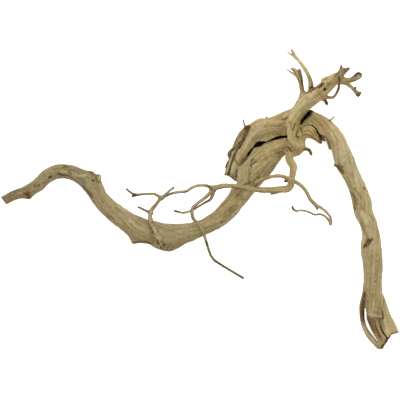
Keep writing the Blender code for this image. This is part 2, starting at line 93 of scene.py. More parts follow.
# Each limb is a list of (x, y, height of its centre, radius), in millimetres along its centre line.
STOUT = {
    "trunk": [
        (-246, -2, 17, 5.6), (-231, 5.5, 14, 6.0), (-218, 9, 11, 7.0), (-204, 17, 9, 7.6),
        (-191, 29, 7.5, 8.0), (-180, 34.2, 7.0, 8.0), (-170, 34.6, 7.0, 8.1), (-160, 33, 8.1, 8.4),
        (-150, 28.5, 10.5, 8.9), (-141, 22.5, 13.5, 10.0), (-132.5, 13.5, 16.5, 10.9),
        (-124.5, 0.5, 20, 10.3), (-112, -13, 24, 11.4), (-100, -22.5, 27, 12.2), (-88, -31, 30, 13.2),
        (-75, -38.5, 32, 15.6), (-60, -42.5, 33, 15.6), (-44, -46.5, 34, 16.6), (-35, -46.5, 34, 15.8),
        (-25, -44.5, 33.5, 13.8), (-10, -40.7, 32.5, 11.2), (5, -34.7, 31, 9.8), (20, -26.5, 29.5, 10.3),
        (33, -15.5, 28.5, 11.1), (44, -2.5, 28, 11.2), (50.5, 7, 28, 12.2), (57, 18, 28.5, 14.0),
        (65, 32, 29.5, 17.0), (74, 44, 30.5, 18.5), (84, 54, 31.5, 16.5), (95, 61.5, 33, 12.5),
        (106, 66, 35, 10.5), (117, 69, 37, 10.5),
    ],
    "leg": [
        (46, 42, 27, 6.5), (49.5, 51, 29, 8.2), (53.5, 60.5, 31, 9.3), (62, 75, 32, 10.6),
        (73.5, 84.2, 32.5, 11.4), (89.5, 90.3, 32, 12.0), (104.5, 94.5, 30.5, 13.2), (118, 100, 27, 13.0),
        (132, 100.5, 21.5, 12.4), (147, 95.5, 15, 11.8), (160, 87, 11, 11.5), (170.5, 75, 10.4, 11.0),
        (176.5, 60, 12, 11.6), (181.5, 46, 14, 12.6), (185.5, 38.5, 15, 11.6), (190, 29.5, 16.5, 10.6),
        (198, 12, 19, 10.9), (202.7, -3, 20.5, 11.3), (205, -16, 20.5, 10.9), (211, -31, 20, 9.9),
        (214, -45, 19, 10.3), (214.3, -62, 18, 12.2), (216.2, -80, 17, 11.8), (216.7, -100, 15.5, 11.0),
        (217.3, -115, 14, 10.8), (218.5, -130, 13, 10.4), (219.5, -144, 13, 9.4),
    ],
    "crossing": [
        (119, 62, 36, 8.5), (117.5, 70, 39, 10.8), (115, 78, 43, 9.8), (114.8, 87, 46.5, 9.0),
        (117, 97, 48.5, 8.0), (122.6, 108.4, 49.5, 8.4), (132, 119.8, 51, 10.2), (143.4, 128.4, 53, 9.6),
        (153.6, 136.6, 57, 8.8), (162.2, 144.8, 61, 8.4), (170, 151, 65, 6.6), (174.5, 153, 67.5, 5.2),
    ],
    "knot": [(109, 71, 36, 9.5), (121, 67, 36, 9.3)],
    "stub": [
        (122, 80, 38, 9.0), (130, 85.5, 36.5, 8.8), (138.5, 85, 33, 7.8), (145.5, 79.2, 28, 5.4),
        (149.8, 73.6, 24, 3.4), (151, 70.8, 22.5, 1.8),
    ],
    "stub_under": [(140, 88, 14, 6.0), (148, 83.5, 12, 5.6), (153.2, 77.2, 11, 3.6), (156.5, 74.8, 10, 2.6)],
    "shoulder": [(109, 99, 36, 8.5), (118, 107, 40, 7.4), (126.5, 117.5, 43, 5.8), (129.6, 129, 46, 4.6)],
    "plate": [(153.4, 147.2, 61, 3.6), (163, 150, 62, 4.4), (173, 153.6, 65, 4.2)],
    "web": [
        (51.5, 45.5, 23, 8.0), (62, 58, 26, 12.0), (78, 71, 28, 12.5), (94, 77.5, 28, 12.5),
        (108, 82, 28, 12.0),
    ],
    "sag_corner": [(-76, -42, 31, 10.0), (-81, -49, 30, 6.0), (-82.8, -52.6, 29, 3.6)],
    "sag_burl": [(-47, -50, 34, 13.0), (-39, -52.5, 33, 13.0), (-33, -50, 33, 11.5)],
    "crest_bump": [(-142, 27, 15, 6.5), (-137, 28, 16, 6.5)],
    "crest_nub": [(-131, 19, 20, 5.0), (-128, 24.5, 21, 3.4), (-127, 28.3, 21.5, 2.8)],
    "tip_nub": [(-216, 8, 11, 5.0), (-214.2, 2.6, 11, 2.2)],
    "foot_left": [
        (211, -110, 13, 5.0), (206.8, -121, 12, 3.6), (203.6, -131, 11, 3.1), (202.7, -143, 9.5, 2.6),
        (204.2, -154, 8.2, 2.6), (208.6, -166, 6.4, 2.7), (215, -175.5, 4.0, 2.9), (223, -183, 1.9, 3.2),
    ],
    "foot_tongue": [
        (218, -132, 8, 8.0), (218.6, -150, 6.0, 7.6), (223.2, -165, 4.4, 6.6), (228, -176.5, 2.6, 5.4),
        (227.2, -183, 1.4, 3.9),
    ],
    "foot_fibre": [
        (210.8, -143, 9.5, 2.8), (213.4, -155, 8.4, 2.9), (218.6, -167, 6.4, 2.8), (225.6, -178.5, 3.8, 2.6),
    ],
    "foot_rib": [
        (220.6, -143, 11, 3.0), (222.8, -156, 10, 3.0), (226.6, -167, 8.4, 3.0), (231.4, -178, 5.6, 2.8),
    ],
    "foot_right": [
        (224, -122, 12, 5.5), (229.4, -136, 12, 5.0), (233.2, -147, 11.8, 5.6), (236.4, -159, 11.3, 8.4),
        (239.6, -169, 10.4, 9.4),
    ],
    "foot_back": [(223, -126, 7, 6.5), (226.8, -140, 6.5, 6.5), (230, -153, 6, 6.5)],
    "foot_rim": [(239, -168, 7.5, 4.2), (234.4, -176, 5.2, 3.8), (228.6, -183.4, 2.0, 2.8)],
}

# How thick each flattened limb is, upwards, as a share of its width
FLATTENED = {
    "foot_tongue": 0.62,
    "foot_right": 0.38,
    "plate": 0.8,
    "bark_under": 0.45,
    "bark_outer": 0.7,
    "bark_broad": 0.42,
    "bark_mid": 0.75,
}

SLIM = {
    "front_root": [
        (114, 63, 40, 7.0), (111.7, 55, 43, 5.1), (112, 48.5, 46, 4.6), (116.4, 40.8, 50, 4.4),
        (116, 33, 53, 4.0), (114.6, 26, 54, 3.9), (113.8, 18.5, 53.4, 4.2), (109.6, 12.8, 52, 4.2),
        (101, 11.8, 50, 3.9), (90, 11.2, 47.5, 3.4), (79, 11.2, 45, 3.4), (69, 12, 43, 3.2),
        (59, 14, 41.8, 3.0), (49, 15.8, 41.2, 2.6), (39, 16.6, 42, 2.5), (29, 16.2, 43.5, 2.8),
        (20, 14.3, 45, 2.9), (14.5, 12.6, 46, 2.6),
    ],
    "left_twig": [
        (18, 13.6, 45, 2.5), (12, 15.5, 46.5, 2.1), (4.5, 17.2, 48, 1.9), (-3, 16.8, 50, 1.8),
        (-10.5, 14.2, 51, 1.7), (-17, 9.8, 51, 1.7), (-26, 8.8, 50, 1.6), (-35, 7, 49.5, 1.6),
        (-43, 3.8, 49.5, 1.8), (-48.5, 0.8, 50, 2.0), (-55, -7, 50.5, 2.0), (-60.8, -14.5, 51, 2.5),
        (-62.3, -22, 50.5, 2.4), (-60.8, -29, 49.5, 3.1), (-56.2, -40, 48.8, 3.9), (-52.6, -50, 46.5, 4.0),
        (-47.6, -59, 41, 4.4),
    ],
    "left_twig_spur": [
        (-48.5, 0.6, 50, 1.7), (-43, 6, 52, 1.4), (-38, 10.3, 54, 1.3), (-32.8, 14.2, 57, 1.2),
    ],
    "left_twig_end": [
        (-47.5, 1, 50, 1.7), (-52.5, 3.9, 49.5, 1.7), (-56, 6, 49, 1.5), (-63, 6.4, 48, 1.4),
        (-72, 6, 46.5, 1.3), (-80, 5.2, 45, 1.5), (-86, 7.8, 43.5, 1.3), (-92, 12.5, 42, 1.1),
    ],
    "left_twig_fork": [(-79.5, 5.5, 45, 1.3), (-84.8, 2.8, 44.5, 1.0)],
    "left_twig_side": [
        (-61, -17.5, 51, 2.0), (-66, -15.3, 52, 1.5), (-71, -12.7, 53.5, 1.3), (-77, -10, 55, 1.0),
    ],
    "long_twig": [
        (17, 13, 45, 2.6), (10.5, 5.5, 47, 2.1), (3.5, -0.5, 49, 1.8), (-4, -6, 50.5, 1.8),
        (-9.3, -11.5, 51, 1.9), (-9.9, -18.5, 50, 2.0), (-7.8, -25.5, 48, 1.9), (-2.5, -30.5, 45.5, 1.7),
        (2, -37.5, 43.4, 1.6), (5.5, -46, 40.5, 1.6), (8.3, -55, 37, 1.6), (10.8, -63, 33.5, 1.5),
        (13.2, -70, 30, 1.5), (17, -75.5, 27, 1.5), (26, -82, 22, 1.5), (39, -90, 16, 1.5),
        (54, -99, 9.5, 1.4),
    ],
    "hooked_twig": [
        (17.5, 12, 44.5, 2.4), (15.6, 4, 42.5, 1.8), (13.2, -0.3, 41.5, 1.6), (6, -4.6, 41.5, 1.4),
        (-2, -9.5, 42, 1.3), (-8, -13.2, 42.5, 1.3), (-15, -16, 43.5, 1.3), (-22, -17.2, 45, 1.3),
        (-27.5, -16, 46.5, 1.4), (-31.5, -15, 48, 1.3),
    ],
    "right_twig": [
        (58, 21, 38, 3.4), (66, 18.9, 44.5, 2.3), (74, 22.5, 50, 2.0), (83, 26.3, 54, 2.0),
        (92, 28.4, 58, 1.9), (101, 28.6, 61.5, 1.9), (110, 25.8, 64, 2.2), (119, 21.5, 65, 2.2),
        (128.5, 14.5, 64.5, 2.1), (134, 6.5, 63, 2.1), (138, -1, 61, 2.1), (144, -7, 58.5, 1.9),
        (151, -10.8, 55, 1.7), (157.5, -16, 51, 1.6), (162.2, -22, 47.5, 1.6), (164, -27.5, 45, 1.6),
        (162.8, -32, 43, 1.4),
    ],
    "right_twig_spur": [(142.5, -5, 59, 1.4), (146.3, -13, 56.5, 1.0)],
    "right_twig_return": [
        (163.4, -30.5, 43.5, 1.4), (160.3, -26, 42, 1.3), (156.3, -21.6, 40.5, 1.3), (150, -19, 39, 1.2),
        (143.5, -19.6, 38, 1.2), (137, -16.6, 37, 1.2), (126, -14.2, 36, 1.2), (120, -15, 36, 1.2),
        (116.3, -12.5, 37, 1.5), (115.5, -9.5, 38.5, 1.3),
    ],
    "elbow_nub": [(111, 24.5, 53, 2.4), (106.3, 22.3, 53, 1.5)],
    "elbow_sliver": [(100, 10.5, 49, 1.6), (94, 7.1, 47.5, 1.0), (89, 6, 46.5, 0.8)],
    "knot_nub": [(126, 63, 36, 3.0), (133, 62.5, 37, 2.0), (136.5, 61, 38, 1.9), (138.8, 56, 40, 1.7)],
    "fork_twig": [
        (128, 126, 45, 4.4), (127.6, 135, 50, 3.0), (125.4, 144, 55, 2.4), (122.6, 152, 60, 2.4),
        (119.5, 159.5, 65, 2.3), (114.8, 162.6, 69, 1.8),
    ],
    "fork_twig_right": [(126.6, 140, 53, 2.2), (126, 153, 60, 1.9), (124.4, 161.5, 64, 1.3)],
    "fork_twig_left": [(123.2, 150.5, 60, 1.3), (116, 156, 66, 1.0), (109, 161, 70, 0.9)],
    "tall_twig": [
        (137, 127, 46, 5.0), (138.3, 137, 51, 3.5), (138.3, 144, 56, 3.0), (136, 152, 63, 2.7),
        (131.5, 161, 72, 2.5), (126.5, 168, 80, 2.2), (121, 174.6, 87, 1.9), (117.4, 179.8, 93, 1.7),
        (113.8, 185.2, 99, 1.5),
    ],
    "tall_twig_side": [(120, 174.4, 88, 1.1), (114.6, 178.4, 92, 0.9), (108.8, 182.6, 97, 0.8)],
    "end_up": [(170, 150, 65, 5.2), (175, 155.5, 70, 4.6), (178.6, 160.5, 75, 4.5), (180.4, 163.6, 78, 4.2)],
    "end_up_left": [(176, 158, 73, 2.4), (175.7, 166.8, 80, 0.9)],
    "end_up_right": [(180, 159.5, 76, 2.8), (185.2, 162.2, 80, 1.6)],
    "end_right": [
        (171, 149, 65, 5.0), (180, 147.6, 68, 3.7), (187, 148, 72, 3.4), (193, 150.5, 77, 3.6),
        (197.2, 153.8, 82, 4.6),
    ],
    "end_low": [
        (172, 148, 64, 4.2), (183, 144, 65, 2.6), (189.6, 138.8, 66, 2.2), (195, 133.2, 67, 2.5),
        (199, 128.6, 68, 2.3),
    ],
    "end_low_spur": [(196.5, 130.5, 67, 1.8), (200.6, 133, 68, 0.9)],
    "end_loop": [
        (172.4, 153, 69, 2.0), (173, 146, 74, 1.7), (173, 139, 75, 1.6), (170.5, 132.5, 72, 1.5),
        (166, 126.8, 66, 1.6), (160, 126.6, 60, 1.9), (152, 127, 54, 2.6),
    ],
    "end_nub": [(151, 127, 51, 3.2), (156.5, 122.6, 49, 1.9), (158.4, 118.8, 48, 1.8)],
    "bark_under": [(52, 72, 24, 4.5), (46, 58, 22.5, 6.0), (41.4, 44, 21.5, 6.0), (39.6, 33, 21, 5.0)],
    "bark_outer": [
        (60.4, 90.6, 30, 2.2), (55.4, 85.2, 30.5, 3.4), (50.6, 78, 30, 3.9), (46.8, 70.6, 29, 3.6),
        (43.4, 64, 27.6, 2.9), (41.4, 59, 26, 2.2),
    ],
    "bark_lump": [(40.4, 61, 27.5, 2.6), (37.2, 57, 27, 2.9), (37.4, 52.6, 26.6, 2.2), (39.6, 47, 26, 1.8)],
    "bark_edge": [(38.6, 50, 25, 1.8), (35.4, 45, 24.4, 1.9), (33.0, 39.4, 24, 1.5)],
    "bark_mid": [
        (47.6, 66.4, 32.5, 1.7), (43.4, 60, 32, 1.6), (39.6, 53, 30.8, 2.0), (37.0, 45.5, 29.2, 2.3),
        (34.6, 36, 27.4, 2.7), (32.6, 28, 26, 2.6),
    ],
    "bark_inner": [(50.6, 72, 34.5, 1.3), (46.6, 64, 34, 1.2), (43.2, 57, 33, 1.2), (41.4, 50, 32, 1.0)],
    "bark_broad": [(44.2, 50.6, 32, 1.9), (42.8, 42, 31.6, 3.6), (42.0, 34, 30.6, 5.2), (41.8, 24, 29.6, 6.2)],
    "bark_side": [(48, 48, 28, 2.4), (46.8, 38, 27, 2.6), (46.4, 30, 26, 2.6), (46.4, 25, 25.6, 2.4)],
    "bark_spike": [(57.6, 88.6, 31, 1.8), (55.4, 93.4, 33, 1.0), (54.2, 99, 35, 0.9)],
    "bark_top": [(64, 88, 27, 5.0), (70, 94.5, 27, 3.8), (76.5, 98, 27.5, 3.0), (83, 98.5, 28, 2.2)],
    "leg_spur": [(178, 46, 15, 4.0), (172, 43.4, 16, 2.4), (168.6, 42.2, 17, 1.3)],
    "leg_lip": [
        (146, 87, 24, 3.0), (152.6, 81, 22, 2.6), (157.6, 76.6, 20, 2.2), (160.8, 70, 17.5, 1.7),
        (162.6, 63, 15, 1.2),
    ],
}

# Splinters too thin for the frame's solid
SPLINTERS = {
    "leg_hair": [(161, 97, 17, 1.0), (166, 101, 20, 0.7), (168.5, 103.8, 22, 0.6)],
    "bark_prick": [(59.4, 89.4, 32, 1.0), (60.6, 92.8, 34, 0.6)],
    "bark_tear": [(58.6, 88, 33, 1.2), (62.8, 90, 34, 0.6)],
    "shoulder_prick": [(80, 97.5, 31, 1.4), (84, 103, 34, 0.7)],
    "tip_prick": [(199, 129.4, 68, 1.0), (197.2, 126.8, 68, 0.5)],
    "low_prick": [(191.5, 136.5, 67, 1.6), (194.6, 139.6, 68.5, 0.6)],
    "lip_prick": [(228.8, -146, 15, 1.4), (230.6, -150.4, 13, 0.6)],
}

# Slits, clefts and hollows, each cut down from above along a line of (x, y, height of its floor, half width)
SLITS = {
    "lobe_slit": [
        (58.8, 54.2, 36, 0.3), (62, 58.2, 29, 1.1), (64.4, 61.2, 26, 1.2), (66.6, 63.8, 26, 0.7),
        (69.6, 66.6, 22, 2.3), (74.4, 69, 22, 3.1), (78.6, 70.4, 24, 1.7), (82.6, 70.9, 32, 0.4),
        (86.6, 72.4, 31, 0.5), (90.5, 74.1, 26, 1.1), (96, 76.2, 22, 1.7), (101.5, 77.5, 22, 1.6),
        (108, 77.8, 24, 1.2),
    ],
    "branch_wedge": [
        (125.6, 92.2, 26, 0.8), (128, 97.8, 23, 1.6), (131.8, 102.8, 22, 2.3), (136.4, 107.4, 25, 2.6),
        (140.2, 111, 29, 1.8), (142.2, 113, 31, 1.1),
    ],
    "stub_cleft": [
        (141, 92.6, 37, 0.3), (144.6, 88.8, 33, 0.4), (147, 83.6, 27, 0.6),
        (150.2, 79, 18, 1.0), (152.8, 75, 15, 0.9),
    ],
    "foot_gap": [
        (207.2, -137, -5, 0.7), (207.5, -143, -5, 1.2), (208, -150, -5, 1.5), (210.6, -158.4, -5, 1.6),
        (214.6, -166.6, -5, 1.3), (218.4, -172, -5, 0.9), (222.6, -178, -5, 0.7),
    ],
    "foot_seam": [
        (226, -157.5, 6, 0.3), (228.2, -163.6, 5, 0.5), (233.4, -173, 3.5, 0.5), (236.6, -178, 3, 0.5),
    ],
    "callus_slit": [
        (-177.6, 31.8, 13, 0.3), (-173.7, 30.2, 13, 0.5), (-169, 30.1, 13, 0.6), (-164.6, 28.8, 14, 0.4),
    ],
}

# Slits that lie under another limb are cut no higher than this, and the painted shade inside shallow slits is
# dark brown, not black
SLIT_CEILING = {"branch_wedge": 41.0}
SHALLOW_SLITS = ("callus_slit", "foot_seam")

# Round pits: (x, y, height of the wood's surface there, radius, depth)
PITS = [
    (152, 142.8, 65.5, 2.2, 3.0), (155.2, 136.8, 66, 1.7, 1.8), (148.8, 139.2, 62, 1.3, 2.0),
    (136, 134.6, 58, 2.0, 2.6), (81, 91, 44, 1.0, 1.0), (210, -93.5, 26, 1.0, 1.0), (219, -103, 26, 0.9, 0.8),
    (205.2, 13.8, 29, 1.1, 0.9), (-187.6, 27.2, 14.6, 1.6, 1.1), (-134, 23, 25, 1.2, 1.0),
    (98, 56, 43, 1.2, 1.0),
]

# Broken and sawn ends: the limb that is cut, and vertical planes as (x, y, way out, reach, roughness).
# What lies beyond all of a limb's planes is gone.
CUTS = {
    "trunk": [(-246.1, -2.5, (-0.80, -0.60), 11.0, 0.15)],
    "leg": [(219.5, -148.3, (0.10, -0.99), 13.0, 0.9)],
    "plate": [(150.9, 149.0, (-1.0, 0.1), 3.6, 0.2)],
    "foot_rim": [(244.6, -168.6, (0.30, -0.95), 26.0, 0.7), (234.9, -178.6, (0.86, -0.50), 26.0, 0.7)],
    "end_up": [(179.0, 163.4, (0.1, 0.99), 7.0, 1.0)],
    "end_low": [(198.6, 129.0, (0.6, -0.8), 6.0, 0.9)],
    "bark_mid": [(32.6, 29.2, (-0.20, -0.98), 5.0, 0.3)],
    "bark_broad": [(40.2, 25.2, (-0.54, -0.84), 9.0, 0.4)],
    "bark_side": [(46.0, 23.6, (0.2, -0.98), 4.0, 0.3)],
}


def centre_line(points, step):
    """The limb's centre line as a smooth curve, in rows of (x, y, z, radius) about step apart."""
    table = np.array(points, float)
    spans = np.linalg.norm(np.diff(table[:, :3], axis=0), axis=1)
    slopes = np.diff(table, axis=0) / spans[:, None]
    tangents = np.empty_like(table)
    tangents[0] = slopes[0]
    tangents[-1] = slopes[-1]
    share = (spans[1:] / (spans[:-1] + spans[1:]))[:, None]
    tangents[1:-1] = slopes[:-1] * share + slopes[1:] * (1 - share)
    rows = []
    for start, end, into, out, span in zip(table[:-1], table[1:], tangents[:-1], tangents[1:], spans):
        count = max(1, round(span / step))
        for t in np.arange(count) / count:
            a = (1 + 2 * t) * (1 - t) ** 2 * start + t * (1 - t) ** 2 * span * into
            rows.append(a + t * t * (3 - 2 * t) * end + t * t * (t - 1) * span * out)
    rows.append(table[-1])
    return np.array(rows)


def unit(rows):
    return rows / np.linalg.norm(rows, axis=-1, keepdims=True)


class Limb:
    """A limb's centre line, its frame for angles round it, and how it joins the rest."""

    def __init__(self, name, points, step, fillet, phase=None):
        rows = centre_line(points, step)
        self.name = name
        self.centre = rows[:, :3]
        self.radius = rows[:, 3] + SWELL
        self.flat = FLATTENED.get(name, 1.0)
        self.fillet = fillet
        self.phase = phase
        self.run = np.diff(self.centre, axis=0)
        self.length = np.linalg.norm(self.run, axis=1)
        self.along = np.concatenate(([0.0], np.cumsum(self.length)))
        heading = unit(self.run)
        self.up = unit(np.array((0.0, 0.0, 1.0)) - heading * heading[:, 2:])
        self.side = np.cross(heading, self.up)

    def girth(self, angle, along):
        """The share by which the radius grows or shrinks at this angle round the limb and this far along."""
        if self.phase is None:
            return 1.0
        waves = [
            np.sin(lobes * angle + wind * along + self.phase * (k + 1)) / (k + 1)
            for k, (lobes, wind) in enumerate(zip(FLUTE_LOBES, FLUTE_WIND))
        ]
        return 1 + FLUTE_DEPTH * sum(waves)


def fillet(name, usual):
    return CRISP_FILLET if name.startswith(CRISP_LIMBS) else usual


def all_limbs():
    limbs = [
        Limb(name, points, STOUT_STEP, fillet(name, STOUT_FILLET), PHASE_STEP * k)
        for k, (name, points) in enumerate(STOUT.items())
    ]
    limbs += [Limb(name, points, SLIM_STEP, fillet(name, SLIM_FILLET)) for name, points in SLIM.items()]
    limbs += [Limb(name, points, SPLINTER_STEP, CRISP_FILLET) for name, points in SPLINTERS.items()]
    return limbs


class Field:
    """Signed distances to the wood on a grid, negative inside, with the limb that each spot belongs to."""

    def __init__(self, limbs):
        reach = max(limb.radius.max() for limb in limbs) + MARGIN
        ends = np.concatenate([limb.centre for limb in limbs])
        self.low = ends.min(axis=0) - reach
        self.low[2] = -3 * CELL
        high = ends.max(axis=0) + reach
        shape = np.ceil((high - self.low) / CELL).astype(int) + 1
        self.axes = [(self.low[k] + CELL * np.arange(shape[k])).astype(np.float32) for k in range(3)]
        self.value = np.full(shape, FAR, np.float32)
        self.owner = np.zeros(shape, np.uint8)
        self.fork = np.zeros(shape, np.uint8)

    def region(self, low, high):
        """The grid's slices between two corners, and its coordinates there, ready to broadcast."""
        slices = []
        for k in range(3):
            first = max(0, int((low[k] - self.low[k]) / CELL))
            last = min(self.value.shape[k], int((high[k] - self.low[k]) / CELL) + 2)
            slices.append(slice(first, max(first, last)))
        x, y, z = (axis[cut] for axis, cut in zip(self.axes, slices))
        return tuple(slices), (x[:, None, None], y[None, :, None], z[None, None, :])

    def lay(self, limb, number):
        """Adds a limb, run into what is there by a fillet."""
        reach = limb.radius.max() * WIDEST + MARGIN
        whole, _ = self.region(limb.centre.min(axis=0) - reach, limb.centre.max(axis=0) + reach)
        start = [cut.start for cut in whole]
        mine = np.full(self.value[whole].shape, FAR, np.float32)
        for j, run in enumerate(limb.run):
            ends = limb.centre[j:j + 2]
            near = max(limb.radius[j:j + 2]) * WIDEST + MARGIN
            part, (x, y, z) = self.region(ends.min(axis=0) - near, ends.max(axis=0) + near)
            x, y, z = x - ends[0][0], y - ends[0][1], z - ends[0][2]
            t = np.clip((x * run[0] + y * run[1] + z * run[2]) / limb.length[j] ** 2, 0, 1)
            x, y, z = x - t * run[0], y - t * run[1], z - t * run[2]
            side = x * limb.side[j][0] + y * limb.side[j][1] + z * limb.side[j][2]
            up = x * limb.up[j][0] + y * limb.up[j][1] + z * limb.up[j][2]
            out = np.sqrt(x * x + y * y + z * z + up * up * (limb.flat ** -2 - 1))
            wide = limb.radius[j] + t * (limb.radius[j + 1] - limb.radius[j])
            if limb.phase is not None:
                wide = wide * limb.girth(np.arctan2(up, side), limb.along[j] + t * limb.length[j])
            gap = (out - wide) * math.sqrt(limb.flat)
            view = tuple(slice(cut.start - a, cut.stop - a) for cut, a in zip(part, start))
            np.minimum(mine[view], gap, out=mine[view])
        base = self.value[whole]
        close = (base < MARGIN) & (mine < MARGIN)
        mix = np.where(close, np.clip(1 - np.abs(base - mine) / limb.fillet, 0, 1), 0)
        self.owner[whole][mine < base] = number
        np.maximum(self.fork[whole], (255 * mix).astype(np.uint8), out=self.fork[whole])
        self.value[whole] = np.minimum(base, mine) - mix * mix * limb.fillet / 4

    def slit(self, points, ceiling):
        """Cuts a slit straight down to its floor, with slightly wavy walls."""
        rows = centre_line(points, SLIT_STEP)
        for one, other in zip(rows[:-1], rows[1:]):
            ends = np.array((one, other))
            near = ends[:, 3].max() + SLIT_ROOM
            low = np.append(ends[:, :2].min(axis=0) - near, ends[:, 2].min() - SLIT_ROOM)
            high = np.append(ends[:, :2].max(axis=0) + near, ceiling)
            part, (x, y, z) = self.region(low, high)
            run = other - one
            x, y = x - one[0], y - one[1]
            t = np.clip((x * run[0] + y * run[1]) / (run[0] ** 2 + run[1] ** 2), 0, 1)
            across = np.hypot(x - t * run[0], y - t * run[1])
            wave = 0.2 * np.sin(0.4 * (one[0] + x) + 0.3 * z) * np.sin(0.35 * (one[1] + y) - 0.3 * z)
            into = across - (one[3] + t * run[3]) * (1 + wave)
            floor = (one[2] + t * run[2]) - z
            self.value[part] = np.maximum(self.value[part], -np.maximum(into, floor))

    def pit(self, x, y, z, radius, depth):
        """Sinks a round pit into the surface."""
        middle = np.array((x, y, z - depth + radius))
        part, (px, py, pz) = self.region(middle - radius - 2, middle + radius + 2)
        away = np.sqrt((px - x) ** 2 + (py - y) ** 2 + (pz - middle[2]) ** 2) - radius
        self.value[part] = np.maximum(self.value[part], -away)

    def cut(self, limb, planes):
        """Breaks off what lies beyond all of the planes round a limb's end, with a rough face."""
        middle = np.mean([plane[:2] for plane in planes], axis=0)
        reach, rough = planes[0][3:]
        heights = limb.centre[:, 2]
        low = np.append(middle - reach, heights.min() - reach)
        high = np.append(middle + reach, heights.max() + reach)
        part, (x, y, z) = self.region(low, high)
        # The planes are vertical: 0 * z only spreads their distances over all heights
        past = [(x - px) * out[0] + (y - py) * out[1] + 0 * z for px, py, out, *_ in planes]
        beyond = np.minimum.reduce(past)
        spots = np.stack(np.broadcast_arrays(x, y, z), axis=-1).reshape(-1, 3)
        beyond = beyond + rough * noise(spots / BREAK_BLOB, 11).reshape(beyond.shape)
        beyond[np.hypot(x - middle[0], y - middle[1])[..., 0] > reach] = -FAR
        self.value[part] = np.maximum(self.value[part], beyond)

    def wear_flat(self):
        """Ends the wood at the table."""
        np.maximum(self.value, -self.axes[2][None, None, :], out=self.value)

    def in_view(self, points):
        """How far each point is seen from above: 1 on the highest wood over its place, 0 well below it."""
        inside = self.value < 0
        highest = inside.shape[2] - 1 - inside[:, :, ::-1].argmax(axis=2)
        highest[~inside.any(axis=2)] = 0
        index = np.rint((points[:, :2] - self.low[:2]) / CELL).astype(int)
        index = np.clip(index, 0, np.array(highest.shape) - 1)
        top = self.low[2] + CELL * highest[index[:, 0], index[:, 1]]
        return smooth_step(QUITE_HIDDEN, STILL_SEEN, points[:, 2] - top)

    def at(self, grid, points):
        """The grid's value at the spot nearest to each point."""
        index = np.rint((points - self.low) / CELL).astype(int)
        index = np.clip(index, 0, np.array(grid.shape) - 1)
        return grid[index[:, 0], index[:, 1], index[:, 2]]


def surface_net(value, low):
    """The surface where value is zero: points, one to each cell that it crosses, and quads facing out."""
    inside = value < 0
    size = [n - 1 for n in value.shape]
    corners = [(i, j, k) for i in (0, 1) for j in (0, 1) for k in (0, 1)]

    def shifted(grid, corner):
        return grid[tuple(slice(c, c + n) for c, n in zip(corner, size))]

    some = np.zeros(size, bool)
    every = np.ones(size, bool)
    for corner in corners:
        some |= shifted(inside, corner)
        every &= shifted(inside, corner)
    mixed = some & ~every
    cells = np.argwhere(mixed)
    index = np.full(size, -1, np.int32)
    index[mixed] = np.arange(len(cells))
    heights = np.stack([shifted(value, corner)[mixed] for corner in corners], axis=1)
    total = np.zeros((len(cells), 3))
    count = np.zeros((len(cells), 1))
    for a, one in enumerate(corners):
        for b, other in enumerate(corners):
            if b <= a or sum(p != q for p, q in zip(one, other)) != 1:
                continue
            crossed = (heights[:, a] < 0) != (heights[:, b] < 0)
            start, end = heights[crossed, a], heights[crossed, b]
            t = (start / (start - end))[:, None]
            total[crossed] += np.array(one) * (1 - t) + np.array(other) * t
            count[crossed] += 1
    points = (cells + total / count) * CELL + low
    quads = []
    for axis in range(3):
        u, v = [k for k in range(3) if k != axis]
        before = [slice(None)] * 3
        after = [slice(None)] * 3
        before[axis] = slice(None, -1)
        after[axis] = slice(1, None)
        here, there = inside[tuple(before)], inside[tuple(after)]
        crossed = here != there
        for k in (u, v):
            edge = [slice(None)] * 3
            edge[k] = 0
            crossed[tuple(edge)] = False
            edge[k] = -1
            crossed[tuple(edge)] = False
        spots = np.argwhere(crossed)
        leaving = here[tuple(spots.T)]
        ring = []
        for du, dv in ((1, 1), (0, 1), (0, 0), (1, 0)):
            cell = spots.copy()
            cell[:, u] -= du
            cell[:, v] -= dv
            ring.append(index[tuple(cell.T)])
        faces = np.stack(ring, axis=1)
        turn = leaving if axis != 1 else ~leaving
        faces[~turn] = faces[~turn][:, ::-1]
        quads.append(faces)
    return points, np.concatenate(quads)


def make_mesh(name, points, faces):
    mesh = bpy.data.meshes.new(name)
    mesh.vertices.add(len(points))
    mesh.vertices.foreach_set("co", np.asarray(points, np.float32).ravel())
    mesh.loops.add(faces.size)
    mesh.loops.foreach_set("vertex_index", faces.ravel().astype(np.int32))
    mesh.polygons.add(len(faces))
    mesh.polygons.foreach_set("loop_start", np.arange(0, faces.size, faces.shape[1], dtype=np.int32))
    mesh.update(calc_edges=True)
    obj = bpy.data.objects.new(name, mesh)
    bpy.context.scene.collection.objects.link(obj)
    return obj


def apply_modifiers(obj):
    """Swaps the object's mesh for what its modifiers make of it."""
    graph = bpy.context.evaluated_depsgraph_get()
    made = bpy.data.meshes.new_from_object(obj.evaluated_get(graph))
    obj.modifiers.clear()
    old = obj.data
    obj.data = made
    bpy.data.meshes.remove(old)


def keep_largest_piece(obj):
    """Drops the loose crumbs that carving can leave."""
    edges = np.empty(2 * len(obj.data.edges), np.int32)
    obj.data.edges.foreach_get("vertices", edges)
    one, other = edges.reshape(-1, 2).T
    label = np.arange(len(obj.data.vertices))
    while True:
        lowest = label.copy()
        np.minimum.at(lowest, one, label[other])
        np.minimum.at(lowest, other, label[one])
        lowest = lowest[lowest]
        if (lowest == label).all():
            break
        label = lowest
    biggest = np.bincount(label).argmax()
    if (label == biggest).all():
        return
    bm = bmesh.new()
    bm.from_mesh(obj.data)
    bm.verts.ensure_lookup_table()
    crumbs = [bm.verts[k] for k in np.flatnonzero(label != biggest)]
    bmesh.ops.delete(bm, geom=crumbs, context="VERTS")
    bm.to_mesh(obj.data)
    bm.free()


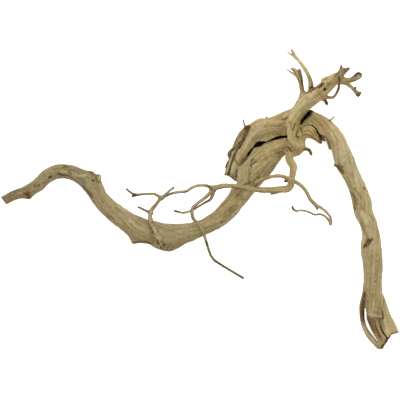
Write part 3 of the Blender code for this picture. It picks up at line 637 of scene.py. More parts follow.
# Large odd numbers that scramble a spot of the noise's grid
HASH_X = 374761393
HASH_Y = 668265263
HASH_Z = 1440662683
HASH_SEED = 97531
HASH_MIX = 1274126177


def noise(points, seed):
    """Smooth noise from -1 to 1, with blobs about one unit across."""
    cell = np.floor(points).astype(np.int64)
    part = points - cell
    part = part * part * (3 - 2 * part)
    total = np.zeros(len(points))
    for i in (0, 1):
        for j in (0, 1):
            for k in (0, 1):
                spot = cell + (i, j, k)
                mixed = spot[:, 0] * HASH_X + spot[:, 1] * HASH_Y + spot[:, 2] * HASH_Z + seed * HASH_SEED
                mixed = (mixed ^ (mixed >> 13)) * HASH_MIX & 0xFFFFFFFF
                mixed = (mixed ^ (mixed >> 16)) & 0xFFFF
                weight = np.abs(1 - i - part[:, 0]) * np.abs(1 - j - part[:, 1]) * np.abs(1 - k - part[:, 2])
                total += weight * (mixed / 32767.5 - 1)
    return total


POINTS_AT_ONCE = 4000


def limb_places(limbs, owner, points):
    """Each point's place on its own limb: distance along, angle round, and the limb's radius there."""
    along = np.zeros(len(points))
    angle = np.zeros(len(points))
    radius = np.zeros(len(points))
    for number, limb in enumerate(limbs):
        mine = np.flatnonzero(owner == number)
        for group in np.array_split(mine, max(1, len(mine) // POINTS_AT_ONCE)):
            if not len(group):
                continue
            offset = points[group][:, None, :] - limb.centre[None, :-1, :]
            t = np.clip((offset * limb.run).sum(axis=2) / limb.length ** 2, 0, 1)
            offset = offset - t[..., None] * limb.run
            nearest = (offset ** 2).sum(axis=2).argmin(axis=1)
            row = np.arange(len(group))
            t, offset = t[row, nearest], offset[row, nearest]
            along[group] = limb.along[nearest] + t * limb.length[nearest]
            radius[group] = limb.radius[nearest] + t * np.diff(limb.radius)[nearest]
            side = (offset * limb.side[nearest]).sum(axis=1)
            angle[group] = np.arctan2((offset * limb.up[nearest]).sum(axis=1), side)
    return along, angle, radius


# How weathered each kind of wood is, from 0, pale and bare, to 1, dark bark, at its root and at its tip
BARE = (0.0, 0.0)
TWIG = (0.22, 0.80)
BARK = (0.45, 0.60)
DARK_BARK = (0.9, 0.9)
FADED = {
    "front_root": (0.02, 0.2), "right_twig": (0.06, 0.4), "tall_twig": (0.0, 0.1), "fork_twig": (0.0, 0.3),
    "tall_twig_side": (0.0, 0.3), "fork_twig_left": (0.1, 0.4),
    "end_up": (0.0, 0.2), "end_right": (0.0, 0.6), "end_low": (0.02, 0.6), "end_loop": (0.6, 0.3),
    "left_twig_end": (0.3, 0.9), "knot_nub": (0.5, 0.9), "leg_spur": (0.1, 0.5), "leg_lip": (0.2, 0.4),
    "long_twig": (0.12, 0.6), "left_twig": (0.18, 0.0), "end_up_left": (0.4, 0.6),
    "fork_twig_right": (0.85, 0.8), "end_nub": (0.0, 0.7), "bark_top": (0.0, 0.1), "bark_mid": (0.1, 0.15),
    "bark_broad": (0.12, 0.4), "bark_side": (0.2, 0.7), "bark_inner": (0.1, 0.2), "bark_outer": (0.3, 0.4),
    # bark_under, the layer seen in the gaps between the bark strips, is dark bark, made dark also as painted
    # shade in those gaps
    "bark_under": DARK_BARK, "bark_lump": (0.6, 0.7), "bark_edge": DARK_BARK, "bark_spike": (0.8, 0.7),
    "foot_fibre": (0.3, 0.2), "foot_rib": (0.15, 0.15), "foot_tongue": (0.25, 0.2), "foot_left": (0.25, 0.1),
    "foot_back": (0.6, 0.6), "stub_under": (0.5, 0.6),
}
TIP_LENGTH = 18.0
FIBRE_TWIST = 0.012
LIMB_GAP = 900.0

# How strong the raised grain is on a limb, where it isn't 1
GRAIN = {
    "trunk": 0.5, "leg": 0.5, "crossing": 0.9, "stub": 1.6, "knot": 1.3, "foot_rib": 1.8, "foot_fibre": 1.8,
}

# How bright and how warm the wood is at some places, as shares of the leg's: (x, y, brightness, warmth)
TONES = [
    (-245, 0, 0.64, 0.0), (-218, 8, 0.64, 0.0), (-195, 25, 0.71, 0.0), (-165, 34, 0.71, 0.0),
    (-130, 8, 0.74, 0.0), (-90, -30, 0.77, 0.02), (-50, -45, 0.77, 0.03), (0, -40, 0.82, 0.04),
    (38, -10, 0.89, 0.05), (60, 25, 0.92, 0.14), (84, 52, 0.91, 0.16), (60, 75, 0.90, 0.14),
    (95, 93, 0.93, 0.12), (115, 80, 0.92, 0.32), (130, 112, 1.02, 0.08), (150, 133, 1.03, 0.08),
    (176, 152, 1.0, 0.12), (140, 82, 1.13, 0.42), (150, 100, 1.09, 0.12),
    (168, 82, 1.28, -0.08), (176, 60, 1.14, -0.06), (185, 40, 1.0, 0.0), (203, 0, 0.98, -0.02),
    (213, -50, 0.96, -0.02), (216, -90, 0.91, 0.0), (219, -125, 0.91, 0.0), (236, -150, 1.2, -0.1),
    (222, -170, 1.1, 0.02), (124, 160, 1.7, -0.25), (112, 184, 1.7, -0.25), (190, 150, 1.25, 0.0),
    (38, 52, 1.2, -0.06), (-20, 8, 0.95, -0.14), (-60, 4, 0.95, -0.08),
    (140, 0, 1.0, -0.05), (105, 93, 0.96, 0.14),
]
TONE_REACH = 18.0

# The marks' colours, read from 0 to 255, and those of them that fade out softly
PAINTS = {
    "ink": (28, 17, 8), "umber": (84, 56, 26), "brown": (120, 91, 48), "rust": (138, 102, 54),
    "ash": (106, 98, 74), "olive": (130, 112, 60), "pale": (208, 194, 148), "rosy": (184, 158, 114),
}
SOFT_PAINTS = ("rust", "ash", "olive", "pale", "rosy")

# Marks on the side that the light falls on: colour, strength, how deep the mark is sunk,
# and its line as (x, y, half width). A mark less than zero deep stands out.
MARKS = {
    "lobes": [
        ("brown", 0.9, 0.9, [(48.8, 42.0, 1.4), (52.4, 46.4, 2.0), (57.2, 51.6, 1.9), (61.5, 57.2, 1.5)]),
        ("umber", 0.8, 0.3, [(51.6, 45.0, 0.8), (56.2, 50.2, 1.3), (60.4, 55.6, 1.4)]),
        ("ink", 0.8, 0.8, [(66.8, 50.6, 0.8), (64.1, 47.2, 1.2), (63.5, 42.2, 1.1), (65.0, 39.4, 0.8)]),
        ("ink", 0.8, 0.9, [(71.8, 47.0, 0.8), (69.2, 46.0, 1.1), (66.9, 43.6, 1.1)]),
        ("pale", 0.8, -0.6, [(70.4, 43.4, 1.0), (67.8, 41.0, 1.2), (66.2, 39.0, 0.8)]),
        ("brown", 0.7, 0.6, [(61, 38.3, 0.8), (61.8, 30.6, 1.0), (60.6, 22.8, 1.0), (61.8, 19.7, 1.4)]),
        ("brown", 0.6, 0.4,
         [(64.1, 22.8, 0.7), (66.4, 20.5, 0.8), (75, 30.6, 0.8), (78.9, 36.8, 0.7), (86.7, 44.6, 0.5)]),
        ("umber", 0.5, 0.3, [(71.1, 31.3, 0.8), (73.4, 34.5, 0.8)]),
        ("rust", 0.7, 0.4, [(94.4, 58.2, 1.7), (99, 56.6, 1.4), (103.8, 54.6, 0.9)]),
        ("umber", 0.5, 0.3, [(96, 60.6, 0.6), (101, 59.6, 0.8), (104, 60.6, 0.6)]),
        # Painted shade: olive along the lobe's lower right edge, its shadow side
        ("olive", 0.7, 0.0, [(82, 27, 1.6), (89.8, 34.5, 2.4), (95, 42, 1.8)]),
        ("umber", 0.8, 0.4, [(55, 17.8, 0.8), (60.5, 19.6, 1.2), (65, 21.4, 0.9)]),
        ("rust", 0.5, 0.0, [(62.4, 68.2, 0.9), (63.6, 66.6, 0.8)]),
        ("brown", 0.6, 0.3, [(53.5, 52.5, 0.8), (55.6, 55.4, 0.8)]),
        # Painted highlight: a pale, slightly raised band along the lobe's upper ridge
        ("pale", 0.5, -0.2, [(54, 59, 1.3), (58, 67, 1.9), (64, 77.5, 2.3), (73, 88, 2.1), (82, 94.6, 1.3)]),
        ("umber", 0.9, 0.8, [(100.4, 98.2, 0.6), (104.6, 99.8, 1.0), (109.4, 101.4, 0.8)]),
        ("brown", 0.6, 0.4, [(96.4, 90.6, 0.7), (101.6, 93.6, 0.9), (106, 95, 0.6)]),
        ("pale", 0.5, -0.2, [(86, 94, 1.4), (95, 96.4, 1.8), (103, 96.8, 1.2)]),
    ],
    "bark": [
        # Painted shadow: brown on the outer bark strip's right part, and dark brown, sunk, between it and the
        # lobe
        ("brown", 0.7, 0.0, [(58.4, 88, 2.0), (54.6, 82.6, 2.6), (51.4, 77.4, 2.0)]),
        ("umber", 0.95, 0.9,
         [(60, 88.4, 2.3), (57.6, 82.5, 2.2), (54.8, 75.6, 2.0), (51.6, 69.4, 1.7), (48.6, 64, 1.4)]),
        ("umber", 0.9, 0.5,
         [(48.6, 64.4, 1.1), (45.4, 59.6, 1.3), (43.0, 55.4, 1.6), (41.6, 51.0, 1.4), (39.4, 44, 1.0)]),
        ("ink", 0.85, 0.4, [(50.0, 72.4, 0.6), (46.8, 67, 0.9), (43.8, 62.9, 0.9), (40.0, 60.3, 0.9)]),
        ("umber", 0.95, 0.3, [(39.0, 43, 0.9), (37.2, 36, 1.2), (35.8, 30.6, 1.4)]),
        ("ink", 0.8, 0.3, [(38.2, 59, 0.9), (38.0, 54, 1.2), (37.0, 49.6, 1.0)]),
        ("ash", 0.7, 0.0, [(36.8, 58.6, 1.2), (35.8, 55, 1.4)]),
        ("ink", 0.9, 0.0, [(35.2, 47, 1.1), (33.4, 42, 1.6), (32.0, 38.2, 1.4)]),
        ("ink", 0.7, 0.4, [(43.9, 49.4, 0.8), (45.4, 46, 1.1), (46, 42, 0.9)]),
        ("umber", 0.8, 0.2, [(45.8, 37, 0.9), (45.6, 33, 1.2), (45.2, 27.5, 1.9)]),
        ("umber", 0.75, 0.2, [(37, 28.2, 1.4), (40.9, 26.0, 1.8), (44.3, 23.4, 1.9)]),
        ("ash", 0.6, 0.0, [(39.4, 31, 1.6), (42, 30, 2.2), (44.4, 30, 1.4)]),
        ("umber", 0.95, 0.0, [(57.0, 87.8, 1.8), (60.4, 89.8, 2.0), (62.8, 90, 1.2)]),
        ("pale", 0.6, -0.2, [(38.8, 52, 0.8), (36.6, 44.4, 1.1), (34.2, 36.6, 1.2)]),
        ("pale", 0.6, -0.2, [(42.8, 44, 1.2), (41.8, 39, 1.7), (41.0, 34.6, 1.6)]),
        ("umber", 0.6, 0.0, [(50.6, 85.6, 0.6), (46.0, 77.6, 0.8), (42.8, 70, 0.8)]),
    ],
    "branch": [
        ("rust", 0.8, 0.4, [(112.8, 96.4, 0.8), (113.6, 91, 1.1), (114.6, 85.6, 0.8)]),
        ("umber", 0.75, 0.5, [(119.4, 97, 0.6), (117.6, 91.4, 0.9), (116, 86.6, 0.6)]),
        # Painted shade: a dark line along the branch's lit left edge, and a soft brown shadow below its lower
        # end
        ("umber", 0.7, 0.6, [(107.4, 90, 0.6), (106.8, 84, 0.9), (107.4, 77.6, 1.1), (109, 72.6, 0.8)]),
        ("brown", 0.5, 0.3, [(109, 72.6, 1.0), (111.4, 69, 1.2), (114.4, 67, 0.8)]),
        # Painted highlight: a pale, slightly raised strip along the branch's lit left side and lower end
        ("pale", 0.5, -0.2,
         [(111, 92, 1.4), (110.4, 84, 2.0), (112, 76, 2.2), (117, 70, 2.4), (124, 67.4, 2.2),
          (129, 68.4, 1.4)]),
        # Painted shade: dark brown on the leg beside the wedge under the branch
        ("umber", 0.6, 0.0, [(142.6, 109.6, 1.0), (140, 106.4, 1.4), (136, 101.6, 1.1), (131.4, 96.4, 0.7)]),
        # Painted highlight: a pale, slightly raised streak on the crossing branch
        ("pale", 0.7, -0.2, [(112.2, 98, 1.0), (117.4, 107, 2.0), (124, 114.6, 2.4), (131, 121.6, 1.6)]),
        # Painted shade: olive along the branch's right edge, over the wedge
        ("olive", 0.8, 0.0, [(122.4, 90, 1.4), (124.4, 97, 2.0), (128.4, 104.6, 1.8), (133.6, 110.4, 1.2)]),
        # Painted highlight: a pale, slightly raised patch on the crossing branch
        ("pale", 0.7, -0.2, [(136.6, 126, 1.4), (141, 131.6, 2.4), (144.6, 136, 1.8)]),
        # Painted shadow: a sunk dark line between the tall twig's base and the branch
        ("umber", 0.9, 0.6, [(133.6, 132.6, 1.1), (137, 135, 1.8), (141.6, 137.6, 1.6), (146, 140.4, 1.2)]),
        ("ink", 0.9, 0.4, [(148.4, 138.6, 1.0), (150.6, 141.4, 1.2), (153.2, 143.4, 1.2)]),
        ("rosy", 0.6, 0.0, [(150.6, 138.4, 1.6), (153, 140, 1.3)]),
        ("umber", 0.9, 0.3, [(155.2, 136.8, 1.9), (155.6, 137.4, 1.7)]),
        ("umber", 0.7, 0.3, [(160, 142, 0.7), (163, 144.6, 0.6)]),
        ("rust", 0.5, 0.1, [(146.6, 135, 2.0), (150, 131, 2.2), (153, 127.6, 2.0)]),
        ("umber", 0.8, 0.4, [(168.6, 153.4, 1.0), (171.4, 155.6, 1.0), (173, 158.2, 0.7)]),
        ("ink", 0.8, 0.5, [(173.2, 151.6, 1.2), (173.6, 147, 1.3), (173.6, 142, 0.8)]),
        ("umber", 0.8, 0.3, [(130.5, 138, 1.4), (131.4, 135.4, 1.2)]),
        ("rust", 0.9, 0.3, [(131.6, 134.4, 1.6), (136, 136.8, 2.0), (141, 138.6, 1.5), (146, 141.2, 1.1)]),
        ("umber", 0.8, 0.4, [(134, 137.4, 0.8), (138.4, 139, 0.9), (143, 140.6, 0.7)]),
        ("umber", 0.6, 0.4, [(127.6, 141, 0.6), (126.8, 147, 1.0), (125, 154, 1.2), (122.4, 160.4, 0.9)]),
        ("brown", 0.6, 0.2, [(124.4, 146, 0.6), (121.6, 153, 0.8), (117, 158.6, 0.6)]),
        ("rosy", 0.6, 0.0, [(143, 106.4, 1.6), (150, 101, 2.4), (158, 92.6, 2.0)]),
        ("brown", 0.5, 0.2, [(139.6, 103, 0.8), (147, 98, 1.0), (154, 90.4, 0.8)]),
        ("brown", 0.4, 0.2, [(146.4, 106, 0.6), (154, 99.4, 0.8), (161, 91, 0.6)]),
        ("rust", 0.8, 0.2, [(183, 146.6, 0.8), (187, 146.2, 0.9), (190.6, 147, 0.7)]),
        ("umber", 0.9, 0.6, [(193.4, 155, 1.6), (196.4, 156.6, 2.2), (199.6, 156.4, 1.8)]),
        ("pale", 0.4, -0.2, [(192, 149.4, 1.2), (196.4, 151.2, 1.3), (199.6, 152.8, 1.0)]),
        ("umber", 0.9, 0.3, [(157, 119.6, 1.6), (158.4, 117.8, 1.2)]),
        ("ink", 0.7, 0.2, [(197.6, 130, 1.2), (199.2, 128.6, 1.2)]),
        ("umber", 0.6, 0.2, [(180.6, 158.6, 0.7), (182.6, 161.6, 0.9)]),
        ("ash", 0.7, 0.0, [(175.4, 162, 0.9), (175.2, 166.6, 0.7)]),
    ],
    "stub": [
        ("umber", 0.9, 0.9,
         [(128.4, 90.6, 0.6), (134.7, 93.0, 0.8), (140, 92.4, 0.8), (145, 88, 0.9), (147.6, 82, 1.1)]),
        ("umber", 0.7, 0.7,
         [(127.4, 87, 0.5), (133, 89.6, 0.7), (139, 88.4, 0.7), (143.4, 84, 0.7), (146.2, 78.4, 0.5)]),
        ("brown", 0.7, 0.6, [(127.4, 83.5, 0.6), (133, 85.6, 0.7), (138.5, 84, 0.7), (142.6, 79.4, 0.6)]),
        ("brown", 0.7, 0.5, [(128, 79.6, 0.7), (133.5, 81, 0.8), (139.4, 78.8, 0.8), (144.4, 73.6, 0.7)]),
        # Painted highlight on a raised ridge of the stub
        ("pale", 0.6, -0.3, [(130, 88.2, 0.9), (136, 90, 1.0), (141, 87.4, 0.9)]),
        ("umber", 0.65, 0.6,
         [(125.4, 89.4, 1.1), (122.8, 84.6, 1.0), (120.4, 82.4, 0.9), (120.6, 78.6, 0.9), (123, 77, 0.7)]),
        ("brown", 0.8, 0.2, [(139, 76.4, 1.2), (144.6, 73, 1.6), (149.4, 70, 1.8)]),
        ("umber", 0.9, 0.3, [(148.6, 78.4, 1.0), (151, 74.4, 1.7), (152.4, 70.8, 1.5)]),
        ("umber", 0.65, 0.0, [(150.6, 80.4, 1.1), (153.2, 76.6, 1.8), (155.2, 73.8, 1.3)]),
        ("umber", 0.9, 0.4,
         [(150.6, 80.4, 0.9), (156, 78.4, 0.8), (159.6, 75, 0.8), (161.4, 69, 0.9), (163.2, 62, 0.9),
          (165.4, 56, 0.6)]),
        ("rosy", 0.6, 0.0, [(151.6, 84, 1.3), (156.6, 81.4, 1.4), (161.8, 77, 1.2)]),
        ("rust", 0.6, 0.3, [(113, 61.8, 1.2), (117, 60.2, 1.0), (121, 61, 0.8)]),
        ("umber", 0.6, 0.4, [(108, 66, 0.9), (111.4, 63, 1.1), (112.6, 60, 0.9)]),
    ],
    "arm": [
        ("umber", 0.8, 0.3, [(-249, 1.4, 0.8), (-246, -2.4, 0.8), (-243, -6.6, 0.8)]),
        ("ash", 0.95, 0.2, [(-246.6, 3.8, 1.4), (-240, 7.8, 1.8), (-233, 10.2, 1.8), (-226, 11.8, 1.4)]),
        ("umber", 0.6, 0.2, [(-245, 0.6, 0.6), (-236, 5.4, 0.8), (-229, 8, 0.6)]),
        ("brown", 0.6, 0.1, [(-243, -3.6, 0.7), (-234, 1.4, 0.8), (-226, 4.4, 0.7)]),
        ("olive", 0.9, 0.0, [(-236, -3.2, 1.2), (-229, 0.2, 1.4), (-222, 2.6, 1.6)]),
        ("rust", 0.7, 0.2, [(-226, 4.2, 1.0), (-219, 5.4, 2.6), (-216, 8.6, 2.2), (-213, 11.2, 1.3)]),
        ("brown", 0.9, 0.4, [(-220.6, 7.2, 2.0), (-216.6, 7.0, 3.0), (-214, 3.4, 2.6)]),
        ("umber", 0.8, 0.4, [(-219, 6.2, 1.4), (-216, 5.4, 2.2), (-214.4, 2.6, 1.8)]),
        ("umber", 0.9, 0.6,
         [(-207.6, 17.6, 0.5), (-206.6, 14.8, 0.9), (-203, 16.4, 0.9), (-200.4, 18.4, 0.6)]),
        ("brown", 0.8, 0.4, [(-198.8, 21.4, 0.5), (-195.2, 19.3, 0.7), (-190.6, 21.8, 0.5)]),
        ("umber", 0.75, 0.2, [(-189.2, 26.8, 1.5), (-186.6, 27.8, 1.4)]),
        ("umber", 0.75, 0.4,
         [(-177.6, 31.7, 0.9), (-173.7, 30.1, 1.1), (-169, 30.1, 1.2), (-164.6, 28.8, 0.9)]),
        # Painted shade: dark lines along the arm's lower edge
        ("umber", 0.55, 0.1,
         [(-164.6, 28.4, 0.8), (-158.2, 24.7, 1.0), (-151.6, 20.4, 1.1), (-145.5, 15.2, 1.2)]),
        ("umber", 0.75, 0.1, [(-145.5, 15.2, 1.2), (-140.2, 9.0, 1.3), (-135.9, 3.2, 1.2)]),
        ("pale", 0.4, -0.3,
         [(-175.4, 35.4, 1.0), (-168, 33.6, 1.6), (-158, 29.8, 1.7), (-148, 29.2, 1.5), (-143, 30, 1.0)]),
        ("umber", 0.75, 0.3,
         [(-141.2, 35.4, 0.8), (-138, 34.2, 1.2), (-134.6, 31.6, 1.0), (-132.6, 29.4, 0.7)]),
        ("umber", 0.8, 0.4,
         [(-130.6, 28.6, 0.7), (-130, 25.4, 0.9), (-128.4, 22.4, 0.8), (-126.2, 20.2, 0.6)]),
        ("umber", 0.7, 0.1, [(-129.4, 29.4, 0.6), (-125.6, 29.6, 0.7)]),
        ("pale", 0.8, 0.0, [(-125.8, 28, 0.9), (-125.2, 24.4, 0.8)]),
        ("brown", 0.8, 0.3,
         [(-177, 32.6, 0.6), (-176.4, 36.4, 0.7), (-174.6, 38.4, 0.7), (-170.6, 39.4, 0.7)]),
        ("umber", 0.8, 0.3, [(-172.4, 41.0, 0.9), (-168.6, 41.0, 1.0), (-164.6, 40.0, 0.8)]),
        ("ash", 0.6, 0.2, [(-163, 37, 0.9), (-157, 35, 1.0), (-150.6, 31.4, 0.9)]),
        ("ash", 0.5, 0.2, [(-165, 33.6, 0.7), (-158, 30.4, 0.8), (-150, 24.6, 0.8), (-143, 18, 0.6)]),
        ("umber", 0.7, 0.3, [(-134.6, 23, 1.1), (-133, 22.6, 1.0)]),
    ],
    "trunk": [
        ("olive", 0.9, 0.0, [(51.6, 9, 2.0), (49, 6.4, 2.8), (46, 1.4, 2.0)]),
        ("brown", 0.5, 0.0, [(50, 7.4, 1.8), (47.4, 5, 2.0)]),
        ("olive", 0.6, 0.0, [(46, -8, 1.4), (40, -14, 2.6), (34, -22, 2.4), (27, -29, 1.4)]),
        ("umber", 0.7, 0.3, [(25.8, -28.8, 1.0), (26.6, -29.4, 0.9)]),
        ("umber", 0.5, 0.2, [(43, -13.6, 0.8), (40.6, -16, 0.7)]),
        # Painted shade: brown and dark brown along the sag's lower edge
        ("brown", 0.55, 0.1, [(-70, -50.6, 1.2), (-64, -52, 1.6), (-57.6, -54.4, 1.6)]),
        ("umber", 0.8, 0.2, [(-82, -54.4, 1.2), (-76, -53.6, 1.5), (-69, -53.4, 1.2), (-60, -56, 0.9)]),
        ("ink", 0.8, 0.5, [(-62.0, -32.4, 0.5), (-60.8, -36.6, 0.8), (-60.2, -38.6, 0.5)]),
        ("umber", 0.8, 0.5, [(-59.6, -40.6, 0.7), (-58.4, -43.8, 0.7)]),
        ("umber", 0.7, 0.4, [(-60.2, -28.6, 0.5), (-57.8, -33.6, 0.6)]),
        ("umber", 0.8, 0.5, [(-56.8, -47.4, 0.7), (-55.4, -50.6, 0.7)]),
        ("umber", 0.85, 0.6, [(-54.0, -53.4, 0.8), (-52.4, -55.6, 1.3), (-50.4, -57, 1.0)]),
        ("umber", 0.85, 0.6, [(-49.6, -60.4, 1.0), (-46, -62.4, 0.9)]),
        ("rust", 0.6, 0.3, [(-44.6, -57.6, 1.6), (-40.6, -60.6, 2.0), (-35.6, -62.4, 1.4)]),
        ("pale", 0.4, -0.3, [(-59.6, -31, 0.9), (-56.4, -40, 1.6), (-52, -49, 1.8), (-47, -55.6, 1.4)]),
        ("brown", 0.6, 0.3, [(-64.6, -31, 0.7), (-62.6, -38, 1.1), (-60.6, -46, 1.2), (-57.6, -53, 1.1)]),
        # Painted shade: olive along the trunk's lower edge
        ("olive", 0.45, 0.0, [(-96, -34, 2.4), (-84, -46, 2.6), (-74, -51, 1.8)]),
        ("brown", 0.5, 0.2, [(-44, -57, 2.0), (-39, -58.6, 2.6), (-34, -59, 1.8)]),
        # Painted shade: olive along the trunk's lower edge
        ("olive", 0.45, 0.0, [(-30, -60, 2.0), (-12, -51, 2.4), (6, -42, 2.4), (24, -34, 1.6)]),
    ],
    "leg": [
        # Painted shade under the leg's spur: brown, and a dark brown line along it
        ("brown", 0.8, 0.3, [(172.4, 42.4, 0.9), (176.4, 40.8, 1.8), (180.6, 40.4, 0.9)]),
        ("brown", 0.7, 0.0, [(176, 40, 1.6), (178.4, 36, 1.8), (180, 31.6, 1.0)]),
        ("umber", 0.9, 0.2, [(169.4, 42.2, 0.8), (172.2, 40.6, 1.2), (175, 37.6, 1.4), (178.4, 33, 1.0)]),
        ("umber", 0.9, 0.3, [(205.1, 14.0, 1.3), (205.6, 13.4, 1.2)]),
        ("brown", 0.85, 0.5, [(188.2, 8.8, 0.8), (192.6, 4, 1.2), (197.6, -1.4, 1.0)]),
        ("brown", 0.7, 0.4, [(192.6, 13.4, 0.7), (197.6, 7, 1.0), (202.4, 1, 0.7)]),
        ("brown", 0.8, 0.4, [(191.6, 3, 0.9), (193.6, -2.6, 1.3), (196.4, -7.4, 1.0)]),
        ("umber", 0.8, 0.2, [(193, -7.4, 0.9), (194.4, -13.6, 1.1)]),
        ("rust", 0.5, 0.1, [(200, -6, 0.9), (204.6, -13, 1.1), (207, -20, 0.8)]),
        ("pale", 0.8, -0.2, [(202, -16, 1.8), (205.4, -22, 2.8), (208, -29, 1.8)]),
        ("rust", 0.7, 0.2, [(201, -28.6, 0.8), (206.6, -41, 1.1), (213, -54, 0.8)]),
        ("brown", 0.6, 0.2, [(210.6, -18, 0.7), (214, -22, 0.8), (217, -27, 0.6)]),
        ("umber", 0.95, 0.5, [(214.2, -50.8, 1.7), (211, -53.0, 3.0), (208.8, -57, 2.6), (204.6, -60, 1.3)]),
        ("umber", 0.8, 0.2, [(210, -93.5, 0.9), (210.4, -93.9, 0.9)]),
        ("umber", 0.8, 0.2, [(219, -103, 0.8), (219.3, -103.3, 0.8)]),
        ("rosy", 0.4, 0.0, [(206, -76, 1.6), (208.6, -92, 2.2), (210, -108, 1.6)]),
    ],
    "foot": [
        ("umber", 0.85, 0.0,
         [(206.2, -118, 1.6), (205.4, -126, 2.2), (204.4, -136, 2.2), (204.4, -146, 1.8), (206, -153, 1.2)]),
        ("brown", 0.6, 0.5,
         [(209.6, -146.2, 0.6), (215.2, -147.0, 0.7), (220.4, -148.6, 0.7), (224, -149.6, 0.6)]),
        ("pale", 0.5, -0.3, [(210.4, -144.6, 0.7), (216, -145.4, 0.9), (221, -147, 0.8)]),
        ("umber", 0.75, 0.2,
         [(211.4, -149.4, 1.3), (213.4, -155, 1.6), (216.4, -161.6, 1.4), (219, -167, 1.0)]),
        ("rust", 0.8, 0.0, [(216.6, -151.4, 1.7), (218, -157, 1.6), (221, -164, 1.4), (225.6, -172.6, 1.0)]),
        ("rosy", 0.7, -0.2,
         [(220.8, -152.6, 0.8), (222.4, -159, 1.1), (225.6, -166, 1.1), (229, -172.6, 0.9)]),
        ("rust", 0.7, 0.2, [(219, -164, 0.9), (223, -171, 1.1), (227.6, -178.4, 1.1)]),
        ("umber", 0.7, 0.4, [(219.6, -153, 0.5), (220.6, -160, 0.7), (224.2, -168, 0.8), (228, -175, 0.7)]),
        ("umber", 0.6, 0.3, [(224.6, -150.6, 0.9), (225.4, -156, 1.0), (226, -160.6, 0.7)]),
        ("umber", 0.9, 0.4, [(226, -160.6, 0.6), (229.4, -167, 0.8), (234.6, -174.6, 0.9)]),
        ("pale", 0.5, -0.2,
         [(204.6, -159, 0.9), (208.6, -167.6, 1.2), (214, -175, 1.2), (219.6, -180.8, 1.0)]),
        ("umber", 0.6, 0.2,
         [(210.6, -163.4, 0.5), (214.8, -170.4, 0.6), (219.8, -177, 0.7), (222.8, -180.8, 0.6)]),
        ("umber", 0.5, 0.0, [(202.6, -133, 1.2), (201.6, -144, 1.3), (202.4, -152, 1.0)]),
        ("brown", 0.4, 0.0, [(214, -119, 1.8), (217.4, -120.6, 2.6)]),
        ("brown", 0.4, 0.0, [(217, -141, 1.6), (221.6, -142, 2.8), (225.6, -144, 1.8)]),
        ("umber", 0.9, 0.3, [(227.0, -135.4, 0.7), (228.2, -142.6, 1.3), (229.4, -149.4, 1.0)]),
        ("ash", 0.5, 0.1, [(225.4, -151.6, 1.0), (228.6, -156, 1.6), (230.4, -163, 1.2)]),
        # Painted shade: dark along the sawn end's edge, and dark brown under the blade's end
        ("ink", 0.8, 0.0,
         [(239.8, -170.6, 1.1), (236.2, -175.6, 1.7), (231.8, -181.4, 1.9), (228.4, -186, 1.7)]),
        ("umber", 0.8, 0.0, [(240.4, -168.2, 0.9), (244.6, -168.4, 0.8), (248.4, -166.6, 0.8)]),
        ("rosy", 0.75, 0.0, [(235.6, -147, 1.4), (240, -157, 2.2), (243.4, -164, 2.0)]),
        ("pale", 0.3, -0.1, [(231.6, -152, 1.4), (233.6, -162, 2.2), (235.6, -170, 1.4)]),
        ("olive", 0.5, 0.0, [(222.6, -126, 2.2), (224.6, -136, 2.6), (225.4, -143, 1.6)]),
        ("rosy", 0.5, 0.0, [(216, -174, 0.8), (219.6, -179, 1.0), (223, -183, 0.9)]),
    ],
    "twigs": [
        ("ink", 0.8, 0.1, [(7.9, -53.4, 1.0), (9.4, -58, 1.1)]),
        ("umber", 0.8, 0.2, [(9, 17, 0.9), (13, 14.6, 1.2), (15.6, 11.4, 0.8)]),
        # Painted shade: these five marks darken the twigs' lower edges
        ("umber", 0.7, 0.1,
         [(22, 12.0, 0.7), (29, 13.6, 0.8), (39, 14.2, 0.7), (49, 13.2, 0.6), (59, 11, 0.5)]),
        ("umber", 0.65, 0.0,
         [(12, 13.6, 0.7), (4.5, 15.2, 0.7), (-3, 14.8, 0.7), (-10.5, 12.2, 0.7), (-17, 8.1, 0.6)]),
        ("umber", 0.55, 0.0, [(-17, 8.1, 0.6), (-26, 7.1, 0.6), (-35, 5.3, 0.6), (-43, 2.0, 0.6)]),
        ("umber", 0.75, 0.0, [(11.6, 3.8, 0.7), (5, -2.0, 0.8), (-2.8, -7.6, 0.8), (-7.6, -12.4, 0.6)]),
        ("umber", 0.6, 0.0, [(-86, 6.4, 0.6), (-80, 3.9, 0.7), (-72, 4.7, 0.6), (-63, 5.0, 0.6)]),
        ("pale", 0.5, 0.0, [(-60.8, -14, 1.2), (-62.4, -22, 1.3), (-61, -29, 1.2)]),
        ("ash", 0.7, 0.0,
         [(10.4, -62, 1.5), (13, -70, 1.5), (17, -76, 1.5), (26, -82.4, 1.5), (39, -90.4, 1.5),
          (54, -99, 1.5)]),
        # Painted shade: these four marks darken the twigs' lower edges
        ("umber", 0.5, 0.0, [(17, -77, 0.6), (26, -83.6, 0.6), (39, -91.6, 0.6), (53, -100, 0.6)]),
        ("brown", 0.6, 0.0,
         [(69, 16.9, 0.6), (83, 24.3, 0.6), (92, 26.5, 0.6), (101, 26.7, 0.6), (109, 24, 0.6)]),
        ("brown", 0.6, 0.0,
         [(117.6, 20, 0.6), (127, 13, 0.6), (132.2, 5.6, 0.6), (136.4, -2, 0.6), (143, -8.6, 0.6)]),
        ("brown", 0.6, 0.0, [(101, 8.4, 0.8), (90, 8.4, 0.7), (79, 8.6, 0.7), (69, 9.2, 0.7)]),
        ("umber", 0.7, 0.1, [(-19, 8.4, 0.9), (-16, 9.6, 1.0)]),
        ("umber", 0.8, 0.2, [(104.6, 22.4, 0.9), (107, 22.4, 1.1)]),
        ("umber", 0.8, 0.2, [(130, 62.2, 0.8), (136, 61.4, 0.8), (138.6, 57.4, 0.9)]),
        ("ink", 0.8, 0.1, [(-84, 5, 1.2), (-81.4, 5.2, 1.2)]),
    ],
}

